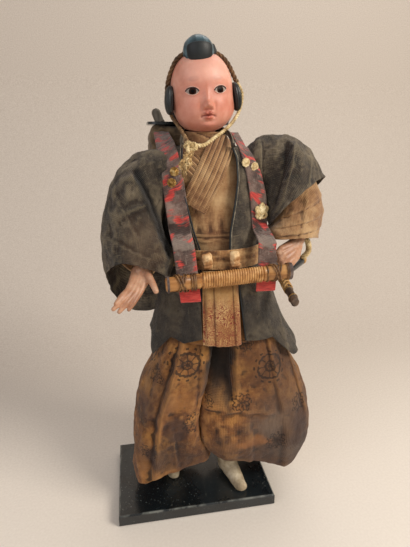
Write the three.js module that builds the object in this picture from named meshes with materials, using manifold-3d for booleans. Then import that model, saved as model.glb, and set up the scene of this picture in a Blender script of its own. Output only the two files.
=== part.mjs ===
// An old costume doll of a travelling mountain pilgrim, standing on a lacquered board.
// Millimetres, +Z up, the doll faces -Y and its own right side is at -X.
// The origin is the centre of the board's underside.
import * as THREE from "three";
import { mergeVertices } from "three/addons/utils/BufferGeometryUtils.js";
import Module from "manifold-3d";

const wasm = await Module();
wasm.setup();

// Fits
const touch = 0.3; // gap between pieces that touch
const runningGap = 0.35; // round pegs that turn or slide

// Lacquered board
const boardWidth = 152;
const boardDepth = 100;
const boardThickness = 12;
const boardEdge = 1.2;
const figureX = 14; // the figure stands right of the board's middle

// Legs and feet, in the figure's frame, whose origin is on the board's top
const footHeight = 13;
const footWidth = 15.5;
const legRadius = 9;
const footPegRadius = 2.6;
const footPegInBoard = 8.5;
const footPegInFoot = 11;
const kneeHeight = 91;
const feet = {
  right: { toe: [-34, -13], heel: [-30, 29], ankle: [-31, 18], knee: [-33, 12], hip: [-13, 0] },
  left: { toe: [33, -41], heel: [21, 1], ankle: [25, -9], knee: [26, -6], hip: [24, -2] },
};

// Body block of bound straw, from the hips to the base of the neck
const coreBottom = 172;
const coreTop = 322;
const coreWidest = 38;
const neckX = -1.5;
const neckY = -1.5;
const neckPegRadius = 4;
const neckPegLength = 42;
const neckPegInCore = 22;

// The figure's outline under its clothes: half width and half depth at each height
const outline = [
  { z: 140, x: 17, y: -1, wide: 68, deep: 43 },
  { z: 172, x: 12, y: -2, wide: 54, deep: 38 },
  { z: 205, x: 9, y: -3, wide: 43, deep: 32 },
  { z: 236, x: 6, y: -4, wide: 35, deep: 28 },
  { z: 262, x: 4, y: -3, wide: 35, deep: 26 },
  { z: 300, x: 1, y: -1, wide: 38, deep: 24 },
  { z: 314, x: 0, y: 1, wide: 38, deep: 21 },
  { z: 323, x: -1, y: 2, wide: 34, deep: 17.5 },
  { z: 329, x: -1, y: 2, wide: 27, deep: 15 },
  { z: 334, x: -1, y: 2, wide: 18, deep: 13 },
  { z: 342, x: -1, y: 2, wide: 12, deep: 12 },
];

// Cloth layers, as distances outside that outline
const silk = 1.5; // thickness of one lined layer
const robeInner = 0.5;
const collarInner = robeInner + silk + 0.7;
const collarLap = silk + 0.7; // the upper collar lies on the lower one
const jacketInner = collarInner + collarLap + silk + 0.6;
const beltInner = jacketInner + silk + 0.8;
const beltThickness = 2.3;
const hakamaInner = 2.6; // at the crotch; the waist is drawn in on the body

const robeBottom = 241;
const robeTop = 330;
const jacketTop = 331;
const beltBottom = 234;
const beltTop = 250;
const seatTop = 238;
const crotchHeight = 166;

// Shoulder straps
const strapWidth = 16.5;
const strapThickness = 1.6;
const straps = {
  right: { bottom: [-21.5, 211], top: -31 },
  left: { bottom: [42.5, 215], top: 29.5 },
};

// Cane bar across the front
const barHalfHeight = 6.6;
const barHalfDepth = 5;
const barEnds = { right: [-41, 227], left: [62.5, 233.5] };
const barNeck = 1.15; // how far the bar is cut down under its thread
const threadRadius = 0.62;
const threadTurns = 24;
const threadGap = 0.55; // from the bar's neck to the thread at its corners
const lashingRadius = 0.75;
const lashingTurns = 3;
const lashingGap = 0.4;

// Pack on the back
const packWidth = 72;
const packDepth = 38;
const packHeight = 96;
const packX = -8.5;
const packBottom = 252;
const packCorner = 9;
const topBoardThickness = 2.4;
const topBoardOverhang = 1.5;
const scrollRadius = 4.2;
const scrollRise = 15;
const scrollSink = 20;

// Head
const headHalfWidth = 24.5;
const headHalfDepth = 25;
const headHalfHeight = 31;
const headTurn = -5; // degrees, towards the doll's right
const headZ = 370.5;
const neckRadius = 8.5;
const eyeSpacing = 21.5;
const eyeZ = 371;
const eyeHalfWidth = 4.6;
const eyeHalfHeight = 2.4;
const lockHalfHeight = 10.5;
const lockHalfDepth = 7.5;
const lockThickness = 5.5;
const hairThickness = 2.2;
const capRadius = 13.2;
const capHeight = 19;
const capSides = 10;
const cordRadius = 1.5;

// Arms and hands
const armRadius = 5.6;
const armHoleGap = 0.6;
const wristPegRadius = 1.6;
const wristPegLength = 9;

// Short sword
const gripLength = 40;
const gripRadius = 4.1;
const scabbardLength = 66;
const scabbardWall = 1.6;
const bladeLength = 56;
const bladeHalfWidth = 2.5;
const bladeHalfThickness = 1.1;
const swordPommel = [63.6, -66, 207.6];
const swordMouth = [66.4, -23, 217.2];

const degrees = Math.PI / 180;
const lerp = THREE.MathUtils.lerp;
const point = (x, y, z) => new THREE.Vector3(x, y, z);
const sides = ["right", "left"];
const steps = (count) => Array.from({ length: count + 1 }, (_, i) => i / count);

// Closed geometry from points and triangles, turned so that its faces point out
function body(points, faces) {
  let volume = 0;
  const cross = new THREE.Vector3();
  for (const [a, b, c] of faces)
    volume += points[a].dot(cross.crossVectors(points[b], points[c]));
  const out = volume < 0 ? faces.map(([a, b, c]) => [a, c, b]) : faces;
  const geometry = new THREE.BufferGeometry();
  const flat = points.flatMap((p) => [p.x, p.y, p.z]);
  geometry.setAttribute("position", new THREE.Float32BufferAttribute(flat, 3));
  geometry.setIndex(out.flat());
  return geometry;
}

// Triangles between neighbouring rings of equal length
function sideFaces(ringCount, sides, closed) {
  const faces = [];
  const last = closed ? ringCount : ringCount - 1;
  for (let r = 0; r < last; r++)
    for (let s = 0; s < sides; s++) {
      const a = r * sides + s;
      const b = r * sides + ((s + 1) % sides);
      const up = (((r + 1) % ringCount) - r) * sides;
      faces.push([a, b, b + up], [a, b + up, a + up]);
    }
  return faces;
}

// Solid skinned over closed rings, with a fan on each end
function loft(rings) {
  const sides = rings[0].length;
  const points = rings.flat();
  const faces = sideFaces(rings.length, sides, false);
  for (const end of [0, rings.length - 1]) {
    const middle = points.push(new THREE.Vector3()) - 1;
    for (const p of rings[end]) points[middle].addScaledVector(p, 1 / sides);
    for (let s = 0; s < sides; s++) {
      const a = end * sides + s;
      const b = end * sides + ((s + 1) % sides);
      faces.push(end ? [a, b, middle] : [b, a, middle]);
    }
  }
  return body(points, faces);
}

// Open-ended shell between an outer and an inner set of rings
function shell(outer, inner) {
  const rings = [...outer, ...inner.toReversed()];
  return body(rings.flat(), sideFaces(rings.length, rings[0].length, true));
}

// Sheet of cloth between an outer and an inner grid of points, given as rows
function sheet(outer, inner) {
  const columns = outer[0].length;
  const under = outer.length * columns;
  const lastRow = (outer.length - 1) * columns;
  const lastColumn = columns - 1;
  const faces = [];
  const quad = (a, b, c, d) => faces.push([a, b, c], [a, c, d]);
  for (let r = 0; r < lastRow; r += columns) {
    for (let c = r; c < r + lastColumn; c++) {
      const d = c + columns;
      quad(c, c + 1, d + 1, d);
      quad(under + c, under + d, under + d + 1, under + c + 1);
    }
    const next = r + columns;
    quad(r, next, under + next, under + r);
    quad(next + lastColumn, r + lastColumn, under + r + lastColumn, under + next + lastColumn);
  }
  for (let c = 0; c < lastColumn; c++) {
    const d = lastRow + c;
    quad(c + 1, c, under + c, under + c + 1);
    quad(d, d + 1, under + d + 1, under + d);
  }
  return body([...outer.flat(), ...inner.flat()], faces);
}

// Round rod or cord along a curve
function tube(points, radius, stepCount, sides = 8) {
  const circle = new THREE.Shape().absarc(0, 0, radius, 0, 2 * Math.PI);
  const path = new THREE.CatmullRomCurve3(points);
  return new THREE.ExtrudeGeometry(circle, {
    extrudePath: path,
    steps: stepCount,
    curveSegments: sides / 2,
    bevelEnabled: false,
  });
}

const circlePoints = (radius, sides) =>
  steps(sides)
    .slice(0, sides)
    .map((t) => [radius * Math.cos(2 * Math.PI * t), radius * Math.sin(2 * Math.PI * t)]);

// Straight rod between two points, its radius given at evenly spaced places
function rod(from, to, radii, sides = 12, flatten = 1) {
  const along = to.clone().sub(from).normalize();
  const side = point(0, 0, 1).cross(along).normalize();
  if (side.lengthSq() < 0.5) side.set(1, 0, 0);
  const up = along.clone().cross(side);
  const rings = radii.map((radius, i) => {
    const centre = from.clone().lerp(to, i / (radii.length - 1));
    return circlePoints(radius, sides).map(([a, b]) =>
      centre.clone().addScaledVector(side, a * flatten).addScaledVector(up, b),
    );
  });
  return loft(rings);
}

const ball = (centre, x, y, z, across = 14, down = 9) =>
  new THREE.SphereGeometry(1, across, down).scale(x, y, z).translate(...centre);

function solid(geometry) {
  const bare = geometry.clone();
  for (const name of Object.keys(bare.attributes))
    if (name !== "position") bare.deleteAttribute(name);
  const merged = mergeVertices(bare);
  const vertProperties = merged.attributes.position.array;
  const triVerts = new Uint32Array(merged.index.array);
  return new wasm.Manifold(new wasm.Mesh({ numProp: 3, vertProperties, triVerts }));
}

function geometryOf(made) {
  const mesh = made.getMesh();
  const geometry = new THREE.BufferGeometry();
  geometry.setAttribute("position", new THREE.BufferAttribute(mesh.vertProperties, 3));
  geometry.setIndex(new THREE.BufferAttribute(mesh.triVerts, 1));
  return geometry;
}

const cut = (geometry, ...tools) =>
  geometryOf(tools.reduce((left, tool) => left.subtract(solid(tool)), solid(geometry)));

// The largest body that is left, without the slivers of a cut
const largest = (geometry) =>
  geometryOf(solid(geometry).decompose().reduce((a, b) => (a.volume() > b.volume() ? a : b)));
const join = (...pieces) => geometryOf(pieces.map(solid).reduce((a, b) => a.add(b)));

// The outline at a height, as a smooth curve through its stations
function outlineAt(z) {
  const last = outline.length - 1;
  let i = 0;
  while (i < last - 1 && z > outline[i + 1].z) i++;
  const [low, high] = [outline[i], outline[i + 1]];
  const span = high.z - low.z;
  const t = (z - low.z) / span;
  const slope = (at, key) => {
    const [a, b] = [outline[Math.max(at - 1, 0)], outline[Math.min(at + 1, last)]];
    return ((b[key] - a[key]) / (b.z - a.z)) * span;
  };
  const smooth = (key) =>
    (2 * t ** 3 - 3 * t ** 2 + 1) * low[key] +
    (t ** 3 - 2 * t ** 2 + t) * slope(i, key) +
    (3 * t ** 2 - 2 * t ** 3) * high[key] +
    (t ** 3 - t ** 2) * slope(i + 1, key);
  return { x: smooth("x"), y: smooth("y"), wide: smooth("wide"), deep: smooth("deep") };
}

// A point outside the outline: the angle is 0 at the front and grows towards the doll's left
function around(angle, z, offset) {
  const at = outlineAt(z);
  const x = at.x + (at.wide + offset) * Math.sin(angle * degrees);
  return point(x, at.y - (at.deep + offset) * Math.cos(angle * degrees), z);
}

function depthOf(x, z, offset) {
  const at = outlineAt(z);
  const share = Math.min(Math.abs(x - at.x) / (at.wide + offset), 1);
  return (at.deep + offset) * Math.sqrt(1 - share ** 2);
}

const onFront = (x, z, offset) => point(x, outlineAt(z).y - depthOf(x, z, offset), z);

// Angle at which a layer passes a given x
function angleAt(x, z, offset) {
  const at = outlineAt(z);
  const share = THREE.MathUtils.clamp((x - at.x) / (at.wide + offset), -1, 1);
  return Math.asin(share) / degrees;
}

// Heights that all layers share, so that they nest: the stations and the middles of long spans
const sharedHeights = outline.flatMap(({ z }, i) => {
  const next = outline[i + 1];
  return next && next.z - z > 12 ? [z, (z + next.z) / 2] : [z];
});
const heightsBetween = (bottom, top) => [
  bottom,
  ...sharedHeights.filter((z) => z > bottom + 1 && z < top - 1),
  top,
];

// Closed rings round the outline, with the offset as a function of height
function outlineRings(bottom, top, offsetAt, count) {
  const angles = steps(count).slice(0, count);
  return heightsBetween(bottom, top).map((z) =>
    angles.map((a) => around(360 * a, z, offsetAt(z))),
  );
}

// Ring-shaped layer of cloth round the outline
const outlineShell = (bottom, top, innerAt, thickness, count) =>
  shell(
    outlineRings(bottom, top, (z) => innerAt(z) + thickness, count),
    outlineRings(bottom, top, innerAt, count),
  );

const tones = {
  lacquer: { color: 0x14181a, roughness: 0.3 },
  sock: { color: 0xd9ccb6, roughness: 0.7 },
  straw: { color: 0xb79a62, roughness: 0.9 },
  wood: { color: 0x8a6540, roughness: 0.7 },
  gofun: { color: 0xc98572, roughness: 0.45 },
  glass: { color: 0x1a1614, roughness: 0.1 },
  hair: { color: 0x0e1011, roughness: 0.35 },
  cap: { color: 0x26333a, roughness: 0.35 },
  paleCord: { color: 0xb79a63, roughness: 0.8 },
  ochre: { color: 0xb8905e, roughness: 0.9 },
  jacket: { color: 0x5a564a, roughness: 0.85 },
  strap: { color: 0x8c8078, roughness: 0.85 },
  brass: { color: 0xb8955a, roughness: 0.45, metalness: 0.8 },
  cane: { color: 0xa9753f, roughness: 0.5 },
  belt: { color: 0x8b6238, roughness: 0.85 },
  brocade: { color: 0x9a6a3a, roughness: 0.85 },
  steel: { color: 0x9a9c9e, roughness: 0.3, metalness: 0.9 },
};

const doll = new THREE.Group();
const figure = new THREE.Group();
figure.position.set(figureX, 0, boardThickness);
doll.add(figure);

function add(parent, name, geometry, tone) {
  const mesh = new THREE.Mesh(geometry, new THREE.MeshStandardMaterial(tones[tone]));
  mesh.name = name;
  parent.add(mesh);
}

// Board with a blind hole for each foot peg
function pegHole(foot, bottom, top) {
  const [x, y] = foot.ankle;
  return rod(point(x, y, bottom), point(x, y, top), [1, 1].map(() => footPegRadius + runningGap));
}

function board() {
  const [w, d] = [boardWidth / 2 - boardEdge, boardDepth / 2 - boardEdge];
  const corners = [[-w, -d], [w, -d], [w, d], [-w, d]].map(([x, y]) => new THREE.Vector2(x, y));
  const block = new THREE.ExtrudeGeometry(new THREE.Shape(corners), {
    depth: boardThickness - 2 * boardEdge,
    bevelThickness: boardEdge,
    bevelSize: boardEdge,
    bevelSegments: 1,
  });
  block.translate(0, 0, boardEdge);
  const holes = Object.values(feet).map((foot) =>
    pegHole(foot, -footPegInBoard, boardThickness).translate(figureX, 0, boardThickness),
  );
  return cut(block, ...holes);
}
add(doll, "base_board", board(), "lacquer");

// Carved leg and sock foot in one, standing on its peg
function leg(foot) {
  const toe = point(...foot.toe, 0);
  const heel = point(...foot.heel, 0);
  const along = toe.clone().sub(heel).normalize();
  const across = point(-along.y, along.x, 0);
  const shape = [
    { t: 0, wide: 0.42, high: 0.72 },
    { t: 0.08, wide: 0.72, high: 0.95 },
    { t: 0.3, wide: 0.82, high: 1.1 },
    { t: 0.55, wide: 0.9, high: 0.95 },
    { t: 0.78, wide: 1, high: 0.7 },
    { t: 0.93, wide: 0.82, high: 0.52 },
    { t: 1, wide: 0.4, high: 0.36 },
  ];
  const rings = shape.map(({ t, wide, high }) =>
    circlePoints(1, 12).map(([a, b]) => {
      const flat = Math.max(b, -0.72);
      return heel
        .clone()
        .lerp(toe, t)
        .addScaledVector(across, (a * wide * footWidth) / 2)
        .setZ(touch + ((flat + 0.72) / 1.72) * high * footHeight);
    }),
  );
  const stations = [
    [foot.ankle, footHeight * 0.55, 0.8],
    [foot.ankle, footHeight * 2.5, 0.75],
    [foot.knee, kneeHeight, 1],
    [foot.hip, coreBottom - touch, 0.95],
  ];
  const shank = loft(
    stations.map(([[x, y], z, share]) =>
      circlePoints(legRadius * share, 10).map(([a, b]) => point(x + a, y + b, z)),
    ),
  );
  return cut(join(loft(rings), shank), pegHole(foot, -1, footPegInFoot));
}
for (const [side, foot] of Object.entries(feet)) {
  const [x, y] = foot.ankle;
  const bottom = point(x, y, touch - footPegInBoard);
  const top = point(x, y, footPegInFoot - touch);
  add(figure, side + "_leg", leg(foot), "sock");
  add(figure, side + "_foot_peg", rod(bottom, top, [footPegRadius, footPegRadius]), "wood");
}

// Body block
const neckHole = rod(
  point(neckX, neckY, coreTop - neckPegInCore),
  point(neckX, neckY, coreTop - neckPegInCore + neckPegLength + 2 * touch),
  [neckPegRadius + runningGap, neckPegRadius + runningGap],
);

function coreRings(grow) {
  return heightsBetween(coreBottom, coreTop).map((z) => {
    const at = outlineAt(z);
    const wide = Math.min(at.wide, coreWidest) + grow;
    const deep = Math.min(at.deep, coreWidest * 0.74) + grow;
    return circlePoints(1, 12).map(([a, b]) => point(at.x + wide * a, at.y + deep * b, z));
  });
}
const core = loft(coreRings(0));
add(figure, "body_core", cut(core, neckHole), "straw");
const pegBottom = point(neckX, neckY, coreTop - neckPegInCore + touch);
const pegTop = pegBottom.clone().setZ(pegBottom.z + neckPegLength);
add(figure, "neck_peg", rod(pegBottom, pegTop, [neckPegRadius, neckPegRadius]), "wood");

// Arms: wrapped wire from the body block to the wrist
const armPaths = {
  right: [[-20, 1, 304], [-40, 1, 302], [-58, 0, 293], [-67, -2, 272], [-65, -13, 255], [-58, -30, 241]],
  left: [[20, 1, 304], [44, 1, 307], [70, 1, 306], [91, -2, 288], [89, -10, 268], [81, -20, 256]],
};

function arm(side, radius) {
  return tube(armPaths[side].map((p) => point(...p)), radius, 10);
}
const armHoles = sides.map((side) => arm(side, armRadius + armHoleGap));
const grownCore = loft(coreRings(touch));

// Neck wrap, a low standing collar round the neck
function neckWrap() {
  const [bottom, top] = [coreTop + touch, 338.5];
  const ring = (radius, z) =>
    circlePoints(1, 16).map(([a, b]) => point(neckX + radius[0] * a, 1 + radius[1] * b, z));
  const outer = steps(2).map((t) =>
    ring([lerp(19.5, 16.5, t), lerp(13.9, 13.6, t)], lerp(bottom, top, t)),
  );
  const inner = steps(2).map((t) =>
    ring([lerp(17, 12.5, t), lerp(12.1, 11.3, t)], lerp(bottom, top, t)),
  );
  return shell(outer, inner);
}
add(figure, "neck_wrap", neckWrap(), "ochre");

// Under robe, a shell round the chest with holes for the arms
const robe = outlineShell(robeBottom, robeTop, () => robeInner, silk, 24);
add(figure, "under_robe", cut(robe, ...armHoles), "ochre");

// A band of cloth on the front, along a list of [x, z] places
function frontBand(places, width, innerAt, thickness, rows, columns) {
  const path = new THREE.SplineCurve(places.map(([x, z]) => new THREE.Vector2(x, z)));
  const grid = (extra) =>
    steps(rows).map((t) => {
      const at = path.getPoint(t);
      const along = path.getTangent(t);
      return steps(columns).map((u) => {
        const away = (u - 0.5) * width;
        const z = at.y + along.x * away;
        return onFront(at.x - along.y * away, z, innerAt(z) + extra);
      });
    });
  return sheet(grid(thickness), grid(0));
}

const collarWidth = 13;
const collars = {
  right: { places: [[-15, 330], [-8, 320], [1, 309], [8, 299]], inner: collarInner },
  left: { places: [[15, 330], [9, 316], [-2, 300], [-12, 286]], inner: collarInner + collarLap },
};
for (const [side, { places, inner }] of Object.entries(collars))
  add(figure, side + "_collar", frontBand(places, collarWidth, () => inner, silk, 8, 4), "ochre");

// Jacket: two fronts and a back that hang from the shoulders past the belt, in soft folds
const frontEdge = {
  right: [[331, -22], [305, -25.4], [264, -15.6], [250, -11], [232, -11], [176, -9], [140, -12]],
  left: [[331, 17], [305, 21.3], [264, 15], [250, 14.6], [232, 20], [170, 27], [140, 30]],
};

function along(places, z) {
  const i = Math.max(places.findIndex(([height]) => height <= z), 1);
  const [[z0, v0], [z1, v1]] = [places[i - 1], places[i]];
  return lerp(v0, v1, THREE.MathUtils.clamp((z0 - z) / (z0 - z1), 0, 1));
}

const foldDepth = 3.4;
const foldStart = 228; // height below which the skirts flute
const flutingReach = (z) => (2 * foldDepth * Math.max(foldStart - z, 0)) / foldStart;
const fluting = (angle, z) => (flutingReach(z) * (1 - Math.cos(angle * degrees * 9))) / 2;
const skirtTop = 205; // below this height the rows spread out to the hem

function jacketPiece(fromAngle, toAngle, hem, columns) {
  const upper = heightsBetween(skirtTop, jacketTop).toReversed();
  const lower = steps(3).slice(1).map((t) => (u) => lerp(skirtTop, hem(u), t));
  const rows = [...upper.map((z) => () => z), ...lower];
  const grid = (offset) =>
    rows.map((height) =>
      steps(columns).map((u) => {
        const z = height(u);
        const angle = lerp(fromAngle(z), toAngle, u);
        return around(angle, z, offset + fluting(angle, z));
      }),
    );
  return cut(sheet(grid(jacketInner + silk), grid(jacketInner)), ...armHoles);
}

const sideSeam = 88;
const hems = {
  right: [[0, 176], [0.42, 176], [0.62, 152], [0.8, 160], [1, 167]],
  left: [[0, 170], [0.34, 168], [0.55, 144], [0.72, 141], [1, 148]],
};

// Height of a hem, from pairs of share across and height
function hemHeight(pairs, u) {
  const i = Math.max(pairs.findIndex(([share]) => share >= u), 1);
  const [[u0, z0], [u1, z1]] = [pairs[i - 1], pairs[i]];
  return lerp(z0, z1, (u - u0) / (u1 - u0));
}
for (const side of sides) {
  const sign = side === "right" ? -1 : 1;
  const inner = (z) => angleAt(along(frontEdge[side], z), z, jacketInner);
  const hem = (u) => hemHeight(hems[side], u);
  const piece = jacketPiece(inner, sign * sideSeam, hem, 8);
  add(figure, "jacket_" + side + "_front", piece, "jacket");
}
const backHem = (u) => lerp(148, 166, u);
add(figure, "jacket_back", jacketPiece(() => sideSeam + 1.5, 360 - sideSeam - 1.5, backHem, 13), "jacket");

// What the sleeves are cut away by, so that they sit against the dressed body
const dressGap = 2 * touch;
const jacketOuter = jacketInner + silk;
const dressed = loft(
  outlineRings(coreBottom, jacketTop + 9, (z) => jacketOuter + dressGap + flutingReach(z), 36),
);
const belted = loft(
  outlineRings(beltBottom - 2, beltTop + 2, () => beltInner + beltThickness + dressGap, 36),
);

// Sleeve: rings given by their outer and inner edge and half depth, then cut at the body
function sleeveRings(stations, inset, sides, folds) {
  const last = stations.length - 1;
  return stations.map(({ out, into, depth }, i) => {
    const centre = point(...out).lerp(point(...into), 0.5);
    const across = point(...out).sub(centre);
    const deep = point(...depth);
    const [a, d] = [across.length(), deep.length()];
    return circlePoints(1, sides).map(([c, s], k) => {
      const fold = 1 - (folds * (i / last) * (1 - Math.cos((k / sides) * 2 * Math.PI * 5))) / 2;
      const square = fold / (Math.abs(c) ** 2.5 + Math.abs(s) ** 2.5) ** (1 / 2.5);
      return centre
        .clone()
        .addScaledVector(across, c * square * (1 - inset / a))
        .addScaledVector(deep, s * square * (1 - inset / d));
    });
  });
}

function sleeve(stations, ringSides, folds) {
  const tubeShell = shell(
    sleeveRings(stations, 0, ringSides, folds),
    sleeveRings(stations, silk, ringSides, folds),
  );
  return cut(tubeShell, dressed, belted);
}

const outerSleeves = {
  right: [
    { out: [-43, 0, 329], into: [-42, 0, 284], depth: [0, 20, 0] },
    { out: [-58, 0, 324], into: [-45, -2, 276], depth: [0, 23, 0] },
    { out: [-76, -1, 306], into: [-44, -8, 262], depth: [0, 25, 0] },
    { out: [-86, -3, 281], into: [-39, -14, 250], depth: [0, 27, -4] },
    { out: [-92, -6, 251], into: [-35, -24, 237], depth: [0, 27, -12] },
    { out: [-90, -8, 226], into: [-40, -24, 219], depth: [0, 28, -22] },
  ],
  left: [
    { out: [44, 0, 337], into: [43, 0, 286], depth: [0, 20, 0] },
    { out: [60, 0, 340], into: [48, -3, 272], depth: [0, 23, 0] },
    { out: [82, -2, 333], into: [54, -9, 260], depth: [2, 24, 0] },
    { out: [107, -5, 304], into: [54, -20, 254], depth: [5, 24, 2] },
  ],
};
const innerSleeves = {
  right: [
    { out: [-36, 0, 314], into: [-36, 0, 292], depth: [0, 12, 0] },
    { out: [-62, -1, 305], into: [-54, -2, 280], depth: [0, 13, 0] },
    { out: [-79, -2, 282], into: [-57, -5, 264], depth: [0, 13, -2] },
    { out: [-80, -10, 262], into: [-53, -16, 252], depth: [0, 13, -7] },
    { out: [-76, -20, 252], into: [-49, -26, 243], depth: [0, 9, -12] },
    { out: [-74, -27, 247], into: [-48, -32, 238], depth: [0, 8, -13] },
  ],
  left: [
    { out: [44, 0, 322], into: [44, 0, 292], depth: [0, 13, 0] },
    { out: [72, -2, 322], into: [62, -4, 282], depth: [0, 15, 0] },
    { out: [97, -5, 302], into: [62, -12, 268], depth: [2, 17, 0] },
    { out: [104, -8, 280], into: [59, -17, 262], depth: [2, 18, 0] },
    { out: [102, -12, 262], into: [58, -21, 258], depth: [2, 17, -2] },
    { out: [100, -15, 251], into: [60, -24, 254], depth: [2, 15, -2] },
  ],
};
for (const side of sides) {
  add(figure, "jacket_" + side + "_sleeve", sleeve(outerSleeves[side], 16, 0.05), "jacket");
  add(figure, side + "_inner_sleeve", sleeve(innerSleeves[side], 12, 0), "ochre");
}

// Hands: each turns on a peg in the end of its arm
const wristPoint = (side) => point(...armPaths[side].at(-1));
const forearm = (side) =>
  wristPoint(side).sub(point(...armPaths[side].at(-2))).normalize();

// Rounded finger through a list of places
function finger(places, radius) {
  const path = new THREE.CatmullRomCurve3(places);
  const across = places.at(-1).clone().sub(places[0]).cross(point(0, 0, 1)).normalize();
  const rings = [[0, 0.9], [0.5, 1], [0.85, 0.85], [0.97, 0.6], [1, 0.2]].map(([t, share]) => {
    const up = across.clone().cross(path.getTangent(t)).normalize();
    return circlePoints(radius * share, 6).map(([a, b]) =>
      path.getPoint(t).addScaledVector(across, a).addScaledVector(up, b),
    );
  });
  return loft(rings);
}

// Palm and four fingers spread evenly across it, then the thumb
function hand(side, { palm, knuckles, bend, tips, thumb, palmRadius, flatten, spread }) {
  const start = wristPoint(side).addScaledVector(forearm(side), touch);
  const peg = start.clone().addScaledVector(forearm(side), -wristPegLength);
  const across = point(...knuckles).sub(start).cross(point(0, 0, 1)).normalize();
  const wristStart = start.clone().addScaledVector(forearm(side), -2);
  const pieces = [
    rod(wristStart, point(...palm), [armRadius * 0.85, armRadius * 0.85, palmRadius * 0.9], 10),
    rod(point(...palm), point(...knuckles), [palmRadius * 0.9, palmRadius, palmRadius * 0.9], 10, flatten),
  ];
  for (const k of [-1.5, -0.5, 0.5, 1.5]) {
    const away = across.clone().multiplyScalar(k * spread);
    const places = [knuckles, bend, tips].map((p) => point(...p).add(away));
    places[0].lerp(point(...palm), 0.15);
    pieces.push(finger(places, 2.4));
  }
  pieces.push(finger(thumb.map((p) => point(...p)), 2.7));
  const armEnd = rod(peg, start, [1, 1].map(() => armRadius + 4), 12);
  const pegEnd = start.clone().addScaledVector(forearm(side), 2);
  const pegRod = rod(peg, pegEnd, [wristPegRadius, wristPegRadius], 8);
  return join(cut(join(...pieces), armEnd), pegRod);
}
const hands = {
  right: {
    palm: [-60, -42, 233],
    knuckles: [-67, -50, 225],
    bend: [-75, -55, 218],
    tips: [-82, -60, 212],
    thumb: [[-58, -45, 231], [-49, -55, 222]],
    palmRadius: 4.6,
    flatten: 1.7,
    spread: 3.6,
  },
  left: {
    palm: [74, -28, 243],
    knuckles: [65, -34, 233],
    bend: [60, -37, 226.5],
    tips: [66, -29, 226],
    thumb: [[72, -34, 241], [58, -37, 238]],
    palmRadius: 7,
    flatten: 1.15,
    spread: 3.8,
  },
};
for (const side of sides) add(figure, side + "_hand", hand(side, hands[side]), "gofun");

// The end of each arm is bored for its hand's peg
function armWithBore(side) {
  const end = wristPoint(side).addScaledVector(forearm(side), 1);
  const start = wristPoint(side).addScaledVector(forearm(side), -wristPegLength);
  const boreRadius = wristPegRadius + runningGap;
  return cut(arm(side, armRadius), grownCore, rod(start, end, [boreRadius, boreRadius], 10));
}
for (const side of sides) add(figure, side + "_arm", armWithBore(side), "straw");

// Divided skirt: a seat drawn in at the waist and two wide legs with folds
const seatInner = (z) => lerp(hakamaInner, touch, (z - crotchHeight) / (seatTop - crotchHeight));
add(figure, "hakama_seat", outlineShell(crotchHeight, seatTop, seatInner, silk, 24), "brocade");

const hakamaLegs = {
  right: [
    { z: 165.5, from: -43, to: -2, deep: 32 },
    { z: 140, from: -50, to: -6, deep: 35 },
    { z: 116, from: -62, to: -12, deep: 39 },
    { z: 91, from: -68, to: -17, deep: 39 },
    { z: 65, from: -71, to: -15, deep: 38 },
    { z: 43, from: -73, to: -8, deep: 37 },
    { z: 22, from: -75, to: 0, deep: 36, low: -5, high: 5 },
  ],
  left: [
    { z: 165.5, from: 1, to: 66, deep: 33 },
    { z: 140, from: -3.5, to: 79, deep: 36 },
    { z: 116, from: -9.5, to: 95, deep: 41 },
    { z: 91, from: -14.5, to: 103, deep: 43 },
    { z: 65, from: -12.5, to: 104, deep: 43 },
    { z: 46, from: -5, to: 100, deep: 41, low: 4, high: -8 },
    { z: 25, from: 4, to: 88, deep: 37, low: 18, high: -18 },
  ],
};
const legFolds = 6; // pleats round each leg
const legSides = 24;
const pleatDepth = 0.055; // as a share of the leg's half width, at the hem
const hakamaY = -3;

function hakamaLeg(stations, inset) {
  return stations.map(({ z, from, to, deep, low = 0, high = 0 }, row) => {
    const half = (to - from) / 2;
    const middle = (from + to) / 2;
    return circlePoints(1, legSides).map(([c, s], k) => {
      const wave = 1 - Math.cos((k / legSides) * 2 * Math.PI * legFolds);
      const fold = 1 - (pleatDepth * wave * row) / (stations.length - 1) / 2;
      const square = fold / (Math.abs(c) ** 2.4 + Math.abs(s) ** 2.4) ** (1 / 2.4);
      const x = middle + c * square * (half - inset);
      const height = z + lerp(low, high, (x - from) / (to - from));
      return point(x, hakamaY + s * square * (deep - inset), height);
    });
  });
}
for (const side of sides) {
  const stations = hakamaLegs[side];
  const piece = shell(hakamaLeg(stations, 0), hakamaLeg(stations, silk));
  add(figure, "hakama_" + side + "_leg", piece, "brocade");
}

// Belt with two small rolls of cloth, and the sash that hangs from it
add(figure, "belt", outlineShell(beltBottom, beltTop, () => beltInner, beltThickness, 24), "belt");

const rollRadius = 3;
const rollBottom = 238.5;
const rollTop = 250.5;
const rollX = { right: -8, left: 14.5 };
for (const side of sides) {
  const offset = beltInner + beltThickness + 2 * touch + rollRadius;
  const middle = onFront(rollX[side], (rollBottom + rollTop) / 2, offset);
  const ends = [rollBottom, rollTop].map((z) => middle.clone().setZ(z));
  const radii = [rollRadius * 0.8, rollRadius, rollRadius * 0.9, rollRadius, rollRadius * 0.8];
  add(figure, side + "_belt_roll", rod(...ends, radii, 10), "ochre");
}

const sashWidth = 32;
const sashPlaces = [[5, beltBottom - 2 * touch], [5, 214], [5.5, 192], [6, 170]];
const sash = frontBand(sashPlaces, sashWidth, (z) => beltInner + flutingReach(z), silk, 6, 6);
add(figure, "sash_panel", sash, "ochre");

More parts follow.
